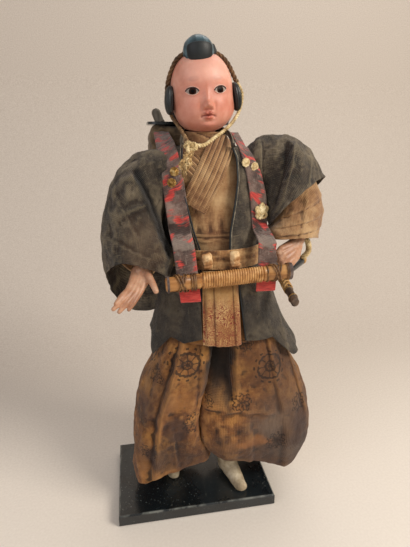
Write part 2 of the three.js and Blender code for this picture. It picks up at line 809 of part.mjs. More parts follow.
// Bar across the front
const barY = -53;
const barPoint = (t) =>
  point(
    lerp(barEnds.right[0], barEnds.left[0], t),
    barY,
    lerp(barEnds.right[1], barEnds.left[1], t),
  );
const barAlong = barPoint(1).sub(barPoint(0)).normalize();
const barUp = point(0, 1, 0).cross(barAlong).negate().normalize();
const barLength = barPoint(1).distanceTo(barPoint(0));
const wound = [0.27, 0.76]; // share of the bar that the thread covers

function bar() {
  const [from, to] = wound;
  const stations = [
    [0, 1.2], [0.012, 0], [from - 0.01, 0], [from, barNeck],
    [to, barNeck], [to + 0.01, 0], [0.988, 0], [1, 1.2],
  ];
  const rings = stations.map(([t, less]) =>
    circlePoints(1, 16).map(([a, b]) =>
      barPoint(t)
        .addScaledVector(barUp, a * (barHalfHeight - less))
        .add(point(0, b * (barHalfDepth - less), 0)),
    ),
  );
  return loft(rings);
}
add(figure, "yoke_bar", bar(), "cane");

// Thread or cord wound round the bar
class Winding extends THREE.Curve {
  constructor(from, to, turns, high, deep) {
    super();
    Object.assign(this, { from, to, turns, high, deep });
    this.arcLengthDivisions = turns * 48;
  }
  getPoint(t) {
    const angle = 2 * Math.PI * this.turns * t;
    return barPoint(lerp(this.from, this.to, t))
      .addScaledVector(barUp, this.high * Math.cos(angle))
      .add(point(0, this.deep * Math.sin(angle), 0));
  }
}

// Least gap between turns, measured on points half a turn or more apart
function leastGap(curve, radius) {
  const places = curve.getSpacedPoints(curve.turns * 24);
  let least = Infinity;
  places.forEach((p, i) => {
    for (let j = i + 12; j < places.length; j++) least = Math.min(least, p.distanceTo(places[j]));
  });
  return least - 2 * radius;
}

function winding(name, curve, radius, perTurn, tone) {
  console.log(name + " clears itself by " + leastGap(curve, radius).toFixed(2) + " mm");
  const section = new THREE.Shape(circlePoints(radius, 4).map(([a, b]) => new THREE.Vector2(a, b)));
  const geometry = new THREE.ExtrudeGeometry(section, {
    extrudePath: curve,
    steps: curve.turns * perTurn,
    bevelEnabled: false,
  });
  add(figure, name, geometry, tone);
}
const threadReach = threadGap + threadRadius - barNeck;
const thread = new Winding(
  wound[0] + (2 * threadRadius) / barLength,
  wound[1] - (2 * threadRadius) / barLength,
  threadTurns,
  barHalfHeight + threadReach,
  barHalfDepth + threadReach,
);
winding("bar_winding", thread, threadRadius, 8, "cane");
const lashed = { right: [0.04, 0.2], left: [0.81, 0.95] };
for (const side of sides) {
  const reach = lashingGap + lashingRadius;
  const [from, to] = lashed[side];
  const cord = new Winding(from, to, lashingTurns, barHalfHeight + reach, barHalfDepth + reach);
  winding(side + "_bar_lashing", cord, lashingRadius, 10, "cane");
}

// Pack: a cloth-covered box under a thin lacquered board, with a scroll standing in its corner
const stationHeights = steps(24).map((t) => lerp(packBottom, packBottom + packHeight, t));
const jacketBackY = Math.max(
  ...stationHeights.filter((z) => z < jacketTop).map((z) => around(180, z, jacketInner + silk).y),
);
const packFront = jacketBackY + touch;
const packTop = packBottom + packHeight;
const scrollFoot = point(packX - packWidth / 2 + 11, packFront + 12, packTop);
const scrollLean = 22;

function roundedBlock(width, depth, height, corner, z) {
  const [x0, x1] = [packX - width / 2, packX + width / 2];
  const middle = packFront + packDepth / 2;
  const [y0, y1] = [middle - depth / 2, middle + depth / 2];
  const shape = new THREE.Shape();
  shape.absarc(x1 - corner, y0 + corner, corner, -Math.PI / 2, 0);
  shape.absarc(x1 - corner, y1 - corner, corner, 0, Math.PI / 2);
  shape.absarc(x0 + corner, y1 - corner, corner, Math.PI / 2, Math.PI);
  shape.absarc(x0 + corner, y0 + corner, corner, Math.PI, 1.5 * Math.PI);
  const block = new THREE.ExtrudeGeometry(shape, { depth: height, bevelEnabled: false, curveSegments: 5 });
  return block.translate(0, 0, z);
}

function scroll(radius, low, high) {
  const along = point(-Math.sin(scrollLean * degrees), 0, Math.cos(scrollLean * degrees));
  const ends = [low, high].map((reach) => scrollFoot.clone().addScaledVector(along, reach));
  return rod(...ends, [radius, radius], 14);
}
const scrollHole = scroll(scrollRadius + touch, -scrollSink, scrollRise);
const packBox = roundedBlock(packWidth, packDepth, packHeight, packCorner, packBottom);
add(figure, "pack_box", cut(packBox, scrollHole), "belt");
const lid = roundedBlock(
  packWidth + 2 * topBoardOverhang,
  packDepth,
  topBoardThickness,
  packCorner,
  packTop + touch,
);
add(figure, "pack_top_board", cut(lid, scrollHole), "lacquer");
add(figure, "pack_scroll", scroll(scrollRadius, touch - scrollSink, scrollRise), "strap");

// Shoulder straps: from behind the bar, up the front, over the shoulder and back to the pack
const strapFree = 268; // below this height the strap hangs clear of the chest, down to the bar
const strapBackZ = 333;
const strapOnJacket = jacketInner + silk + 0.9;

// Height at which a layer's shoulder passes a given x
function shoulderHeight(x, offset) {
  let [low, high] = [300, 342];
  for (let i = 0; i < 24; i++) {
    const middle = (low + high) / 2;
    const at = outlineAt(middle);
    if (at.wide + offset > Math.abs(x - at.x)) low = middle;
    else high = middle;
  }
  return low;
}

function strap({ bottom, top }, grow) {
  const [bottomX, bottomZ] = bottom;
  const barBack = barY + barHalfDepth + 2 * touch + 2 * lashingRadius;
  const grid = (offset) => {
    const [frontRows, backRows, columns] = [15, 3, 4];
    const column = (u) => {
      const away = (u - 0.5) * strapWidth;
      const shoulder = shoulderHeight(top + away, strapOnJacket + offset);
      const front = steps(frontRows).map((t) => {
        const z = lerp(bottomZ, shoulder, Math.sin((t * Math.PI) / 2));
        const x = lerp(bottomX, top, (z - bottomZ) / (shoulder - bottomZ)) + away;
        const surface = onFront(x, z, strapOnJacket + offset);
        if (z > strapFree) return surface;
        const hung = onFront(x, strapFree, strapOnJacket + offset).y;
        const share = THREE.MathUtils.smoothstep(strapFree - z, 0, strapFree - beltTop + 6);
        return surface.setY(lerp(hung, barBack + strapThickness - offset, share));
      });
      const crown = front.at(-1);
      const end = point(top + away, packFront - touch, strapBackZ + offset);
      const back = steps(backRows).slice(1).map((t) => crown.clone().lerp(end, t));
      return [...front, ...back];
    };
    const columnsOfPoints = steps(columns).map(column);
    return columnsOfPoints[0].map((_, row) => columnsOfPoints.map((points) => points[row]));
  };
  return sheet(grid(strapThickness + grow), grid(-grow));
}
for (const side of sides) add(figure, side + "_strap", strap(straps[side], 0), "strap");
const grownStraps = sides.map((side) => strap(straps[side], touch));

// Round studs and a knotted rosette sewn to the straps
const studRadius = 3.4;
const studHeight = 1.6;
const studs = {
  right_upper_stud: [-31.5, 317],
  right_lower_stud: [-33, 308],
  left_upper_stud: [27, 318],
  left_lower_stud: [35, 315],
};
function onStrap([x, z], radius, height, lobes) {
  const offset = strapOnJacket + strapThickness;
  const angle = angleAt(x, z, offset);
  const foot = around(angle, z, offset);
  const out = around(angle, z, offset + 2).sub(foot).normalize();
  const side = point(0, 0, 1).cross(out).normalize();
  const up = out.clone().cross(side);
  const rings = [[0, 1], [0.6, 1], [1, 0.55]].map(([t, share]) =>
    circlePoints(radius * share, lobes ? 20 : 12).map(([a, b], k) => {
      const lobe = lobes ? 1 + 0.14 * Math.cos((k / 20) * 2 * Math.PI * lobes) : 1;
      const centre = foot.clone().addScaledVector(out, t * (height + touch));
      return centre.addScaledVector(side, a * lobe).addScaledVector(up, b * lobe);
    }),
  );
  return largest(cut(loft(rings), ...grownStraps));
}
for (const [name, place] of Object.entries(studs))
  add(figure, name, onStrap(place, studRadius, studHeight, 0), "brass");
add(figure, "strap_rosette", onStrap([38.5, 278], 6, 3, 5), "paleCord");

// Head, in a frame whose origin is on the neck's axis
const head = new THREE.Group();
head.position.set(neckX, neckY, 0);
head.rotation.z = headTurn * degrees;
figure.add(head);
const toHead = (x, y, z) => point(x - neckX, y - neckY, z).applyAxisAngle(point(0, 0, 1), -headTurn * degrees);

const bump = (value, middle, width) => Math.exp(-(((value - middle) / width) ** 2));

// A point outside the head's skin: the angle is 0 at the face and 90 at the left ear
function onHead(angle, z, offset) {
  const t = THREE.MathUtils.clamp((z - headZ) / (headHalfHeight + offset), -1, 1);
  const [c, s] = [Math.cos(angle * degrees), Math.sin(angle * degrees)];
  const round = (power) => (1 - Math.abs(t) ** power) ** (1 / power);
  const jaw = t < 0 ? 1 - 0.14 * t * t : 1;
  const wide = (headHalfWidth + offset) * round(t < 0 ? 2.5 : 2.1) * jaw;
  const deep = (headHalfDepth + offset) * round(t < 0 && c > 0 ? 3.4 : 2.1);
  const x = wide * s;
  const nose = 4.6 * bump(x, 0, 2.4) * bump(z, 362, z < 362 ? 2.2 : 8);
  const lips = 1 * bump(x, 0, 4.5) * bump(z, 354, 3);
  const relief = c > 0 ? nose + lips : 0;
  return point(x, -(deep * c + relief), z);
}

function headRings(offset) {
  const angles = [0, 7, 14, 24, 36, 50, 66, 82, 98, 115, 135, 157, 180];
  const round = [...angles, ...angles.slice(1, -1).toReversed().map((angle) => 360 - angle)];
  const last = 0.985;
  return steps(16).map((t) => {
    const z = headZ + (headHalfHeight + offset) * Math.sin(lerp(-Math.PI / 2, Math.PI / 2, t)) * last;
    return round.map((angle) => onHead(angle, z, offset));
  });
}
const neckTop = headZ - headHalfHeight * 0.7;
const neckStub = rod(point(0, 0, coreTop + touch), point(0, 0, neckTop), [neckRadius, neckRadius], 16);
const eyes = sides.map((side) => {
  const sign = side === "right" ? -1 : 1;
  const x = (sign * eyeSpacing) / 2;
  const angle = Math.asin(x / headHalfWidth) / degrees;
  const centre = onHead(angle, eyeZ, 0).add(point(0, 2.2, 0));
  return (grow) => ball(centre, eyeHalfWidth + grow, 3 + grow, eyeHalfHeight + grow, 10, 6);
});
const headHole = neckHole.clone().translate(-neckX, -neckY, 0);
const skull = join(loft(headRings(0)), neckStub);
add(head, "head", cut(skull, ...eyes.map((eye) => eye(touch)), headHole), "gofun");
eyes.forEach((eye, i) => add(head, sides[i] + "_eye", eye(0), "glass"));
const grownHead = loft(headRings(touch));

// Cords from the cap down both sides of the head to a knot beside the chin
const knotAt = toHead(-18.5, -38, 329.5);
const rise = cordRadius + touch + 0.1;
const cordPaths = {
  right: [
    onHead(-90, 396, rise),
    ...[390, 382, 373].map((z) => onHead(-97, z, rise)),
    onHead(-99, 363, rise),
    onHead(-90, 353, rise),
    point(-19.5, -14, 346),
    point(-17, -27, 337),
    knotAt.clone().add(point(-1.5, 4.6, 3.4)),
  ],
  left: [
    onHead(90, 396, rise),
    onHead(90, 389, rise),
    point(28.5, -2, 379),
    point(32.6, -4, 368),
    point(29.5, -5, 356),
    point(21.5, -10, 347.5),
    point(13, -20.5, 341.5),
    point(3, -28, 336.5),
    point(-6, -33.5, 332),
    knotAt.clone().add(point(4.8, 0.5, 1)),
  ],
};
const headCord = (side, radius) => tube(cordPaths[side], radius, 18, 6);
for (const side of sides) add(head, side + "_head_cord", headCord(side, cordRadius), "paleCord");

// Side locks of black hair, the hair on the back of the head, and the cap
for (const side of sides) {
  const sign = side === "right" ? -1 : 1;
  const centre = point(sign * (headHalfWidth + 1.2), -4.5, 367);
  const lock = ball(centre, lockThickness, lockHalfDepth, lockHalfHeight, 12, 8);
  add(head, side + "_side_lock", cut(lock, grownHead, headCord(side, cordRadius + touch)), "hair");
}

function backHair() {
  const grid = (offset) =>
    steps(7).map((v) =>
      steps(8).map((u) => onHead(lerp(106, 254, u), lerp(397, 347, v), offset)),
    );
  return sheet(grid(touch + hairThickness), grid(touch));
}
const cordHoles = sides.map((side) => headCord(side, cordRadius + touch));
add(head, "back_hair", cut(backHair(), grownHead, ...cordHoles), "hair");

function cap() {
  const profile = [[0, 0], [0.94, 0], [1, 0.2], [0.93, 0.5], [0.68, 0.82], [0.32, 0.98], [0, 1]];
  const points = profile.map(([r, h]) => new THREE.Vector2(r * capRadius, h * capHeight));
  const dome = new THREE.LatheGeometry(points, capSides);
  dome.rotateX(Math.PI / 2).rotateX(20 * degrees);
  return dome.translate(-3, -9, 394);
}
add(head, "cap", cut(cap(), grownHead, ...cordHoles), "cap");

const knot = ball(knotAt, 5, 4, 4.2, 12, 8);
add(head, "cord_knot", cut(knot, ...cordHoles), "paleCord");
const tasselTop = knotAt.clone().add(point(-1, -0.4, -4.6));
const tasselEnd = toHead(-25.5, -42, 307.5);
const tassel = rod(tasselTop, tasselEnd, [2, 4.2, 3.6, 4.6, 3.8, 2.4], 10);
add(head, "cord_tassel", cut(tassel, ball(knotAt, 5 + touch, 4 + touch, 4.2 + touch, 12, 8)), "paleCord");

// Short sword at the left hip, hilt forward, hung from the belt by its cord
const pommel = point(...swordPommel);
const mouth = point(...swordMouth);
const swordAlong = mouth.clone().sub(pommel).normalize();
const onSword = (reach) => mouth.clone().addScaledVector(swordAlong, reach);

function flatBar(from, to, halfWidth, halfThickness, taper = 1) {
  const side = point(0, 0, 1).cross(swordAlong).normalize();
  const up = swordAlong.clone().cross(side);
  const ring = (reach, share) =>
    [[1, 0], [0.3, 1], [-1, 0.55], [-1, -0.55], [0.3, -1]].map(([a, b]) =>
      onSword(reach)
        .addScaledVector(up, a * halfWidth * share)
        .addScaledVector(side, b * halfThickness),
    );
  return loft([ring(from, 1), ring(lerp(from, to, 0.85), 1), ring(to, taper)]);
}
const gripEnd = -touch;
const gripStart = gripEnd - gripLength;
const gripShape = [0.9, 1, 1, 0.92, 0.96, 0.9, 0.96, 1.3];
add(
  figure,
  "sword_grip",
  rod(onSword(gripStart), onSword(gripEnd), gripShape.map((share) => gripRadius * share), 12),
  "ochre",
);
add(figure, "sword_blade", flatBar(gripEnd + touch, bladeLength, bladeHalfWidth, bladeHalfThickness, 0.4), "steel");
const slot = flatBar(-2, bladeLength + 2, bladeHalfWidth + 0.6, bladeHalfThickness + 0.6);
const scabbardRadius = bladeHalfWidth + 0.6 + scabbardWall;
const scabbardFlatness = 0.75;
function scabbardBody(grow) {
  const radii = [1, 1, 0.97, 0.94, 0.9, 0.6].map((share) => scabbardRadius * share + grow);
  return rod(onSword(touch - grow), onSword(scabbardLength + grow), radii, 16, scabbardFlatness);
}
const grownScabbard = scabbardBody(touch / scabbardFlatness);
add(figure, "scabbard", cut(scabbardBody(0), slot), "lacquer");

const hangerRadius = 1.3;
const hangerReach = 22;
const hangerStart = around(86, 242, beltInner + beltThickness + touch + hangerRadius);
const hangerEnd = onSword(hangerReach).add(point(0, 0, scabbardRadius));
const hanger = tube(
  [hangerStart, hangerStart.clone().lerp(hangerEnd, 0.5).add(point(1, 0, 2.5)), hangerEnd],
  hangerRadius,
  8,
);
add(figure, "sword_hanger", largest(cut(hanger, grownScabbard)), "paleCord");

// Small knife sheath tucked outside the scabbard
const sheathStart = onSword(3).add(point(scabbardRadius * scabbardFlatness, 0, 1.5));
const sheathEnd = point(96, -1, 226.5);
const sheath = rod(sheathStart, sheathEnd, [2.6, 3.4, 3.4, 3.2], 12, 0.7);
add(figure, "knife_sheath", largest(cut(sheath, grownScabbard)), "lacquer");

export default doll;
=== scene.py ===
# An old costume doll of a travelling pilgrim on a lacquered board.
# The doll is shaped in millimetres from the point on the board's top that it stands over.
import math
import random

import bpy
from mathutils import Matrix, Vector, noise


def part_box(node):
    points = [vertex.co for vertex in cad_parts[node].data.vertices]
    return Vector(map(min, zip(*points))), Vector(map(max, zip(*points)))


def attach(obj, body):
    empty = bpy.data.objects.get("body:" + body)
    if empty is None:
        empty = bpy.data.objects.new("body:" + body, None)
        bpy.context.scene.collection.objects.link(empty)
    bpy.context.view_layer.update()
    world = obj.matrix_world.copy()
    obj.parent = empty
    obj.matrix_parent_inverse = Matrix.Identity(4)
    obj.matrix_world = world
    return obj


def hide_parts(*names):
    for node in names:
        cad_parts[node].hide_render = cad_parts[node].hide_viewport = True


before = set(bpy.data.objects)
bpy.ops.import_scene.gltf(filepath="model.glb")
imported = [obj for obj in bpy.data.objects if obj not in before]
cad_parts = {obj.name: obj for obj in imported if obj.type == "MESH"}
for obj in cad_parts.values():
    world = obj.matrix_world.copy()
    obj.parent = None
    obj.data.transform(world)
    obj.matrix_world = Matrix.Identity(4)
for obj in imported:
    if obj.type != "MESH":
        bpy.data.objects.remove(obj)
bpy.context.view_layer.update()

random.seed(7)

figureAt = Vector((14, 0, 12))
headAt = Vector((-1.5, -1.5, 345))
headPose = Matrix.Translation(headAt) @ Matrix.Rotation(math.radians(-0.5), 4, "Z")
headPose = headPose @ Matrix.Rotation(math.radians(-4.5), 4, "Y") @ Matrix.Translation((0, 0, -headAt.z))


def place(point):
    return (Vector(point) + figureAt) / 1000


def placeOnHead(point):
    return place(headPose @ Vector(point))


def mix(a, b, t):
    return a + (b - a) * t


def clamp(value, low=0.0, high=1.0):
    return max(low, min(high, value))


def smooth(value, start, end):
    t = clamp((value - start) / (end - start))
    return t * t * (3 - 2 * t)


def bump(value, middle, width):
    return math.exp(-(((value - middle) / width) ** 2))


# Camera, floor and lamps
camera = {
    "at": (-0.0517, -0.3638, 0.3470),
    "across": (0.98432, -0.17634, 0.00307),
    "up": (0.05040, 0.29793, 0.95326),
    "view": (0.16902, 0.93816, -0.30214),
    "lens": 27.67,  # for a 36 mm tall image
}

cameraData = bpy.data.cameras.new("camera")
cameraData.sensor_fit = "VERTICAL"
cameraData.sensor_height = 36
cameraData.lens = camera["lens"]
cameraData.clip_start = 0.01
cameraObject = bpy.data.objects.new("camera", cameraData)
turned = Matrix((camera["across"], camera["up"], [-c for c in camera["view"]])).transposed()
cameraObject.matrix_world = Matrix.Translation(camera["at"]) @ turned.to_4x4()
bpy.context.scene.collection.objects.link(cameraObject)
bpy.context.scene.camera = cameraObject
bpy.context.scene.view_settings.view_transform = "Standard"


def colour(code):
    channels = [int(code[i:i + 2], 16) / 255 for i in (1, 3, 5)]
    linear = [c / 12.92 if c <= 0.04045 else ((c + 0.055) / 1.055) ** 2.4 for c in channels]
    return (*linear, 1)


# Adds a node with its settings and links and gives the output asked for, or else its first one in use
def addNode(tree, kind, inputs=(), stops=(), out=None, **settings):
    made = tree.nodes.new("ShaderNode" + kind)
    for name, value in settings.items():
        setattr(made, name, value)
    for i, (position, code) in enumerate(stops):
        stop = made.color_ramp.elements[i] if i < 2 else made.color_ramp.elements.new(position)
        stop.position = position
        stop.color = colour(code)
    for name, value in inputs.items() if isinstance(inputs, dict) else enumerate(inputs):
        if isinstance(value, bpy.types.NodeSocket):
            tree.links.new(value, made.inputs[name])
        else:
            made.inputs[name].default_value = value
    return made.outputs[out] if out else next(socket for socket in made.outputs if socket.enabled)


# A material with its shader's inputs, their names written with underscores
def newMaterial(name, **inputs):
    material = bpy.data.materials.new(name)
    material.use_nodes = True
    tree = material.node_tree
    shader = tree.nodes["Principled BSDF"]
    for socket, value in inputs.items():
        shader.inputs[socket.replace("_", " ")].default_value = value
    return material, tree, shader


def select(piece):
    bpy.ops.object.select_all(action="DESELECT")
    piece.select_set(True)
    bpy.context.view_layer.objects.active = piece


# A mesh primitive as a named piece
def startForm(name, primitive, **settings):
    bpy.ops.object.select_all(action="DESELECT")
    primitive(**settings)
    form = bpy.context.object
    form.name = name
    return form


# One operator on the whole mesh of the active piece
def onWholeMesh(operator, **settings):
    bpy.ops.object.mode_set(mode="EDIT")
    bpy.ops.mesh.select_all(action="SELECT")
    operator(**settings)
    bpy.ops.object.mode_set(mode="OBJECT")


def addModifier(piece, kind, **settings):
    made = piece.modifiers.new(kind.lower(), kind)
    for name, value in settings.items():
        setattr(made, name, value)


def dress(piece, material):
    piece.data.materials.clear()
    piece.data.materials.append(material)


def applyModifiers(piece):
    select(piece)
    for modifier in list(piece.modifiers):
        bpy.ops.object.modifier_apply(modifier=modifier.name)


# A pale sweep of cloth behind the doll, painted lighter where it comes forward as painted light
stageSize = {"width": 3.2, "depth": 1.7, "back": 0.75, "height": 2.4, "bend": 0.5}
floor = startForm("floor", bpy.ops.mesh.primitive_plane_add, size=1)
for vertex in floor.data.vertices:
    front = vertex.co.y < 0
    vertex.co.x *= stageSize["width"]
    vertex.co.y = -stageSize["depth"] if front else stageSize["back"]
bpy.ops.object.mode_set(mode="EDIT")
bpy.ops.mesh.select_mode(type="EDGE")
bpy.ops.mesh.select_all(action="DESELECT")
bpy.ops.object.mode_set(mode="OBJECT")
for edge in floor.data.edges:
    edge.select = all(floor.data.vertices[i].co.y > 0 for i in edge.vertices)
bpy.ops.object.mode_set(mode="EDIT")
bpy.ops.mesh.extrude_region_move(TRANSFORM_OT_translate={"value": (0, 0, stageSize["height"])})
bpy.ops.mesh.select_all(action="DESELECT")
bpy.ops.object.mode_set(mode="OBJECT")
for edge in floor.data.edges:
    ends = [floor.data.vertices[i].co for i in edge.vertices]
    edge.select = all(end.y > 0 and end.z < 0.001 for end in ends)
bpy.ops.object.mode_set(mode="EDIT")
bpy.ops.mesh.bevel(offset=stageSize["bend"], segments=16)
bpy.ops.object.mode_set(mode="OBJECT")
bpy.ops.object.shade_smooth()
floorMaterial, tree, shader = newMaterial("paleCloth", Roughness=0.95)
coords = addNode(tree, "TexCoord", out="Object")
speckle = addNode(tree, "TexNoise", {"Vector": coords, "Scale": 420.0, "Detail": 3.0})
tint = addNode(tree, "ValToRGB", {"Fac": speckle}, stops=[(0.3, "#BFB4A9"), (0.7, "#D0C7BD")])
depth = addNode(tree, "SeparateXYZ", {"Vector": coords}, out="Y")
# Painted light: the cloth is painted paler towards the front
nearer = addNode(
    tree, "MapRange", {"Value": depth, "From Min": 0.35, "From Max": -0.15, "To Max": 0.65},
    interpolation_type="SMOOTHSTEP",
)
paler = addNode(tree, "Mix", {0: nearer, 6: tint, 7: colour("#EFE8DE")}, data_type="RGBA")
tree.links.new(paler, shader.inputs["Base Color"])
dress(floor, floorMaterial)

world = bpy.data.worlds.new("world")
world.use_nodes = True
background = world.node_tree.nodes["Background"]
background.inputs["Color"].default_value = colour("#EFE9E1")
background.inputs["Strength"].default_value = 0.45
bpy.context.scene.world = world

lamps = {
    "key": {"at": (0.95, -0.75, 1.05), "aim": (0, 0, 0.22), "power": 18, "size": 0.6, "tint": "#FFF6EA"},
    "fill": {"at": (-0.9, -0.85, 0.9), "aim": (0, 0, 0.2), "power": 5, "size": 1.1, "tint": "#F4F4FF"},
    "rim": {"at": (0.3, 0.5, 1.25), "aim": (0, 0, 0.3), "power": 3, "size": 0.7, "tint": "#FFFFFF"},
}
for name, lamp in lamps.items():
    data = bpy.data.lights.new(name, "AREA")
    data.energy = lamp["power"]
    data.size = lamp["size"]
    data.color = colour(lamp["tint"])[:3]
    thing = bpy.data.objects.new(name, data)
    thing.location = lamp["at"]
    thing.rotation_euler = (Vector(lamp["aim"]) - Vector(lamp["at"])).to_track_quat("-Z", "Y").to_euler()
    bpy.context.scene.collection.objects.link(thing)
print("camera, floor and lamps are set")


def finishPiece(piece, material, body, slot, *nodes):
    dress(piece, material)
    if nodes:
        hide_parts(*nodes)
    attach(piece, body)


# The middle of the body at a point's height
def onAxis(point):
    x, y, _, _ = outlineAt(clamp(point.z * 1000 - figureAt.z, 140, 342))
    return Vector(((x + figureAt.x) / 1000, y / 1000, point.z))


# Turns a sheet's faces away from its axis or its middle
def turnOut(piece, axis=None):
    mesh = piece.data
    middle = sum((v.co for v in mesh.vertices), Vector()) / len(mesh.vertices)
    total = 0
    for face in mesh.polygons:
        centre = axis(face.center) if axis else middle
        total += (face.center - centre).dot(face.normal) * face.area
    if total < 0:
        select(piece)
        onWholeMesh(bpy.ops.mesh.flip_normals)


# Cloth is a grid that is shaped point by point; its UV map is in centimetres of cloth
def clothGrid(name, columns, rows, shape, flat, closed=False, axis=onAxis):
    grid = {"x_subdivisions": columns, "y_subdivisions": rows, "size": 2}
    cloth = startForm(name, bpy.ops.mesh.primitive_grid_add, **grid)
    for vertex in cloth.data.vertices:
        vertex.co = place(shape((vertex.co.x + 1) / 2, (vertex.co.y + 1) / 2))
    for loop in cloth.data.uv_layers["UVMap"].data:
        loop.uv = (loop.uv.x * flat[0] / 10, loop.uv.y * flat[1] / 10)
    if closed:
        onWholeMesh(bpy.ops.mesh.remove_doubles, threshold=1e-6)
    cloth.data.update()
    turnOut(cloth, axis)
    return cloth


# Soft creases: depth and size in millimetres, stretch makes them longer along an axis
def crumple(piece, depth, size, seed, stretch=(1, 1, 1), lift=0.0):
    mesh = piece.data
    mesh.update()
    moves = []
    for vertex in mesh.vertices:
        at = Vector([c * 1000 / (size * s) + seed for c, s in zip(vertex.co, stretch)])
        ridge = 1 - 2 * abs(noise.noise(at))
        soft = noise.fractal(at * 1.7 + Vector((9, 3, 5)), 1.0, 2.1, 3)
        moves.append(vertex.normal * ((depth * (0.55 * (ridge - 0.6) + 0.6 * soft) + lift) / 1000))
    for vertex, move in zip(mesh.vertices, moves):
        vertex.co += move


# Wear and shade is how far a place stands above the cloth around it: folds are painted paler, partly lost
# dye and partly painted highlight, and hollows are painted darker as painted shade
edgeWear = 0.3  # along the free edges


def markWearAndShade(piece, rounds=5, reach=0.55):
    mesh = piece.data
    mesh.update()
    beside = [[] for _ in mesh.vertices]
    for edge in mesh.edges:
        first, second = edge.vertices
        beside[first].append(second)
        beside[second].append(first)
    spots = [vertex.co.copy() for vertex in mesh.vertices]
    for _ in range(rounds):
        spots = [sum((spots[k] for k in near), spots[i]) / (len(near) + 1) for i, near in enumerate(beside)]
    wearAndShade = mesh.attributes.new("wearAndShade", "FLOAT", "POINT")
    for vertex, spot in zip(mesh.vertices, spots):
        proud = (vertex.co - spot).dot(vertex.normal) * 1000 / reach
        inside = len(beside[vertex.index]) > 3
        wearAndShade.data[vertex.index].value = clamp(proud, -1, 1) if inside else edgeWear


def finishCloth(piece, thickness, levels=1, reach=0.55):
    markWearAndShade(piece, reach=reach)
    addModifier(piece, "SOLIDIFY", thickness=thickness / 1000, offset=-1)
    if levels:
        addModifier(piece, "SUBSURF", levels=levels, render_levels=levels)
    applyModifiers(piece)
    bpy.ops.object.shade_smooth()


# A smooth path through points, in so many steps
def throughPoints(points, count):
    points = [Vector(p) for p in points]
    ends = [2 * points[0] - points[1], *points, 2 * points[-1] - points[-2]]
    path = []
    for i in range(count + 1):
        at = i / count * (len(points) - 1)
        k = min(int(at), len(points) - 2)
        t = at - k
        a, b, c, d = ends[k:k + 4]
        near = 2 * b + (c - a) * t
        path.append(0.5 * (near + (2 * a - 5 * b + 4 * c - d) * t * t + (3 * b - a - 3 * c + d) * t ** 3))
    return path


# A value that changes evenly from place to place
def along(places, at):
    if at <= places[0][0]:
        return places[0][1]
    for (a, low), (b, high) in zip(places, places[1:]):
        if at <= b:
            return mix(low, high, (at - a) / (b - a))
    return places[-1][1]


# The point before a share of the way along a row of points, and the share of the gap behind it
def rowPlace(row, share):
    gaps = len(row) - 1
    at = min(int(share * gaps), gaps - 1)
    return at, share * gaps - at


# Strands wound round one or more paths, as one mesh: reach is how far a strand runs from its path and
# pitch the length in which it winds round once
def strandCord(name, paths, strands, reach, radius, pitch, toWorld=place, sides=2):
    data = bpy.data.curves.new(name, "CURVE")
    data.dimensions = "3D"
    data.bevel_depth = radius / 1000
    data.bevel_resolution = sides
    data.use_fill_caps = True
    for path in paths:
        side = (path[1] - path[0]).orthogonal().normalized()
        frames = []
        gone = 0
        for i, here in enumerate(path):
            tangent = (path[min(i + 1, len(path) - 1)] - path[max(i - 1, 0)]).normalized()
            side = (side - tangent * side.dot(tangent)).normalized()
            gone += (here - path[i - 1]).length if i else 0
            frames.append((here, side.copy(), tangent.cross(side), gone))
        for k in range(strands):
            spline = data.splines.new("POLY")
            spline.points.add(len(path) - 1)
            for i, (here, across, up, gone) in enumerate(frames):
                angle = 2 * math.pi * (k / strands + gone / pitch)
                point = here + across * (reach * math.cos(angle)) + up * (reach * math.sin(angle))
                spline.points[i].co = (*toWorld(point), 1)
    cord = bpy.data.objects.new(name, data)
    bpy.context.scene.collection.objects.link(cord)
    select(cord)
    bpy.ops.object.convert(target="MESH")
    bpy.ops.object.shade_smooth()
    return bpy.context.object


# Rounded forms such as hands: overlapping balls along chains of points, melted into one skin
def meltedForm(name, chains, voxel, rounds, toWorld=place):
    first = {"segments": 8, "ring_count": 6, "radius": 0.001, "location": toWorld(chains[0][0][0])}
    form = startForm(name, bpy.ops.mesh.primitive_uv_sphere_add, **first)
    bpy.ops.object.transform_apply(location=True, rotation=True, scale=True)
    bpy.ops.object.mode_set(mode="EDIT")
    for chain in chains:
        for (start, fromRadius), (end, toRadius) in zip(chain, chain[1:]):
            gap = (Vector(end) - Vector(start)).length
            count = max(1, round(gap / (0.55 * min(fromRadius, toRadius))))
            for i in range(count + 1):
                centre = Vector(start).lerp(Vector(end), i / count)
                bpy.ops.mesh.primitive_uv_sphere_add(
                    segments=14, ring_count=9, location=toWorld(centre),
                    radius=mix(fromRadius, toRadius, i / count) / 1000,
                )
    bpy.ops.object.mode_set(mode="OBJECT")
    addModifier(form, "REMESH", mode="VOXEL", voxel_size=voxel / 1000)
    addModifier(form, "SMOOTH", factor=0.5, iterations=rounds)
    applyModifiers(form)
    bpy.ops.object.shade_smooth()
    return form


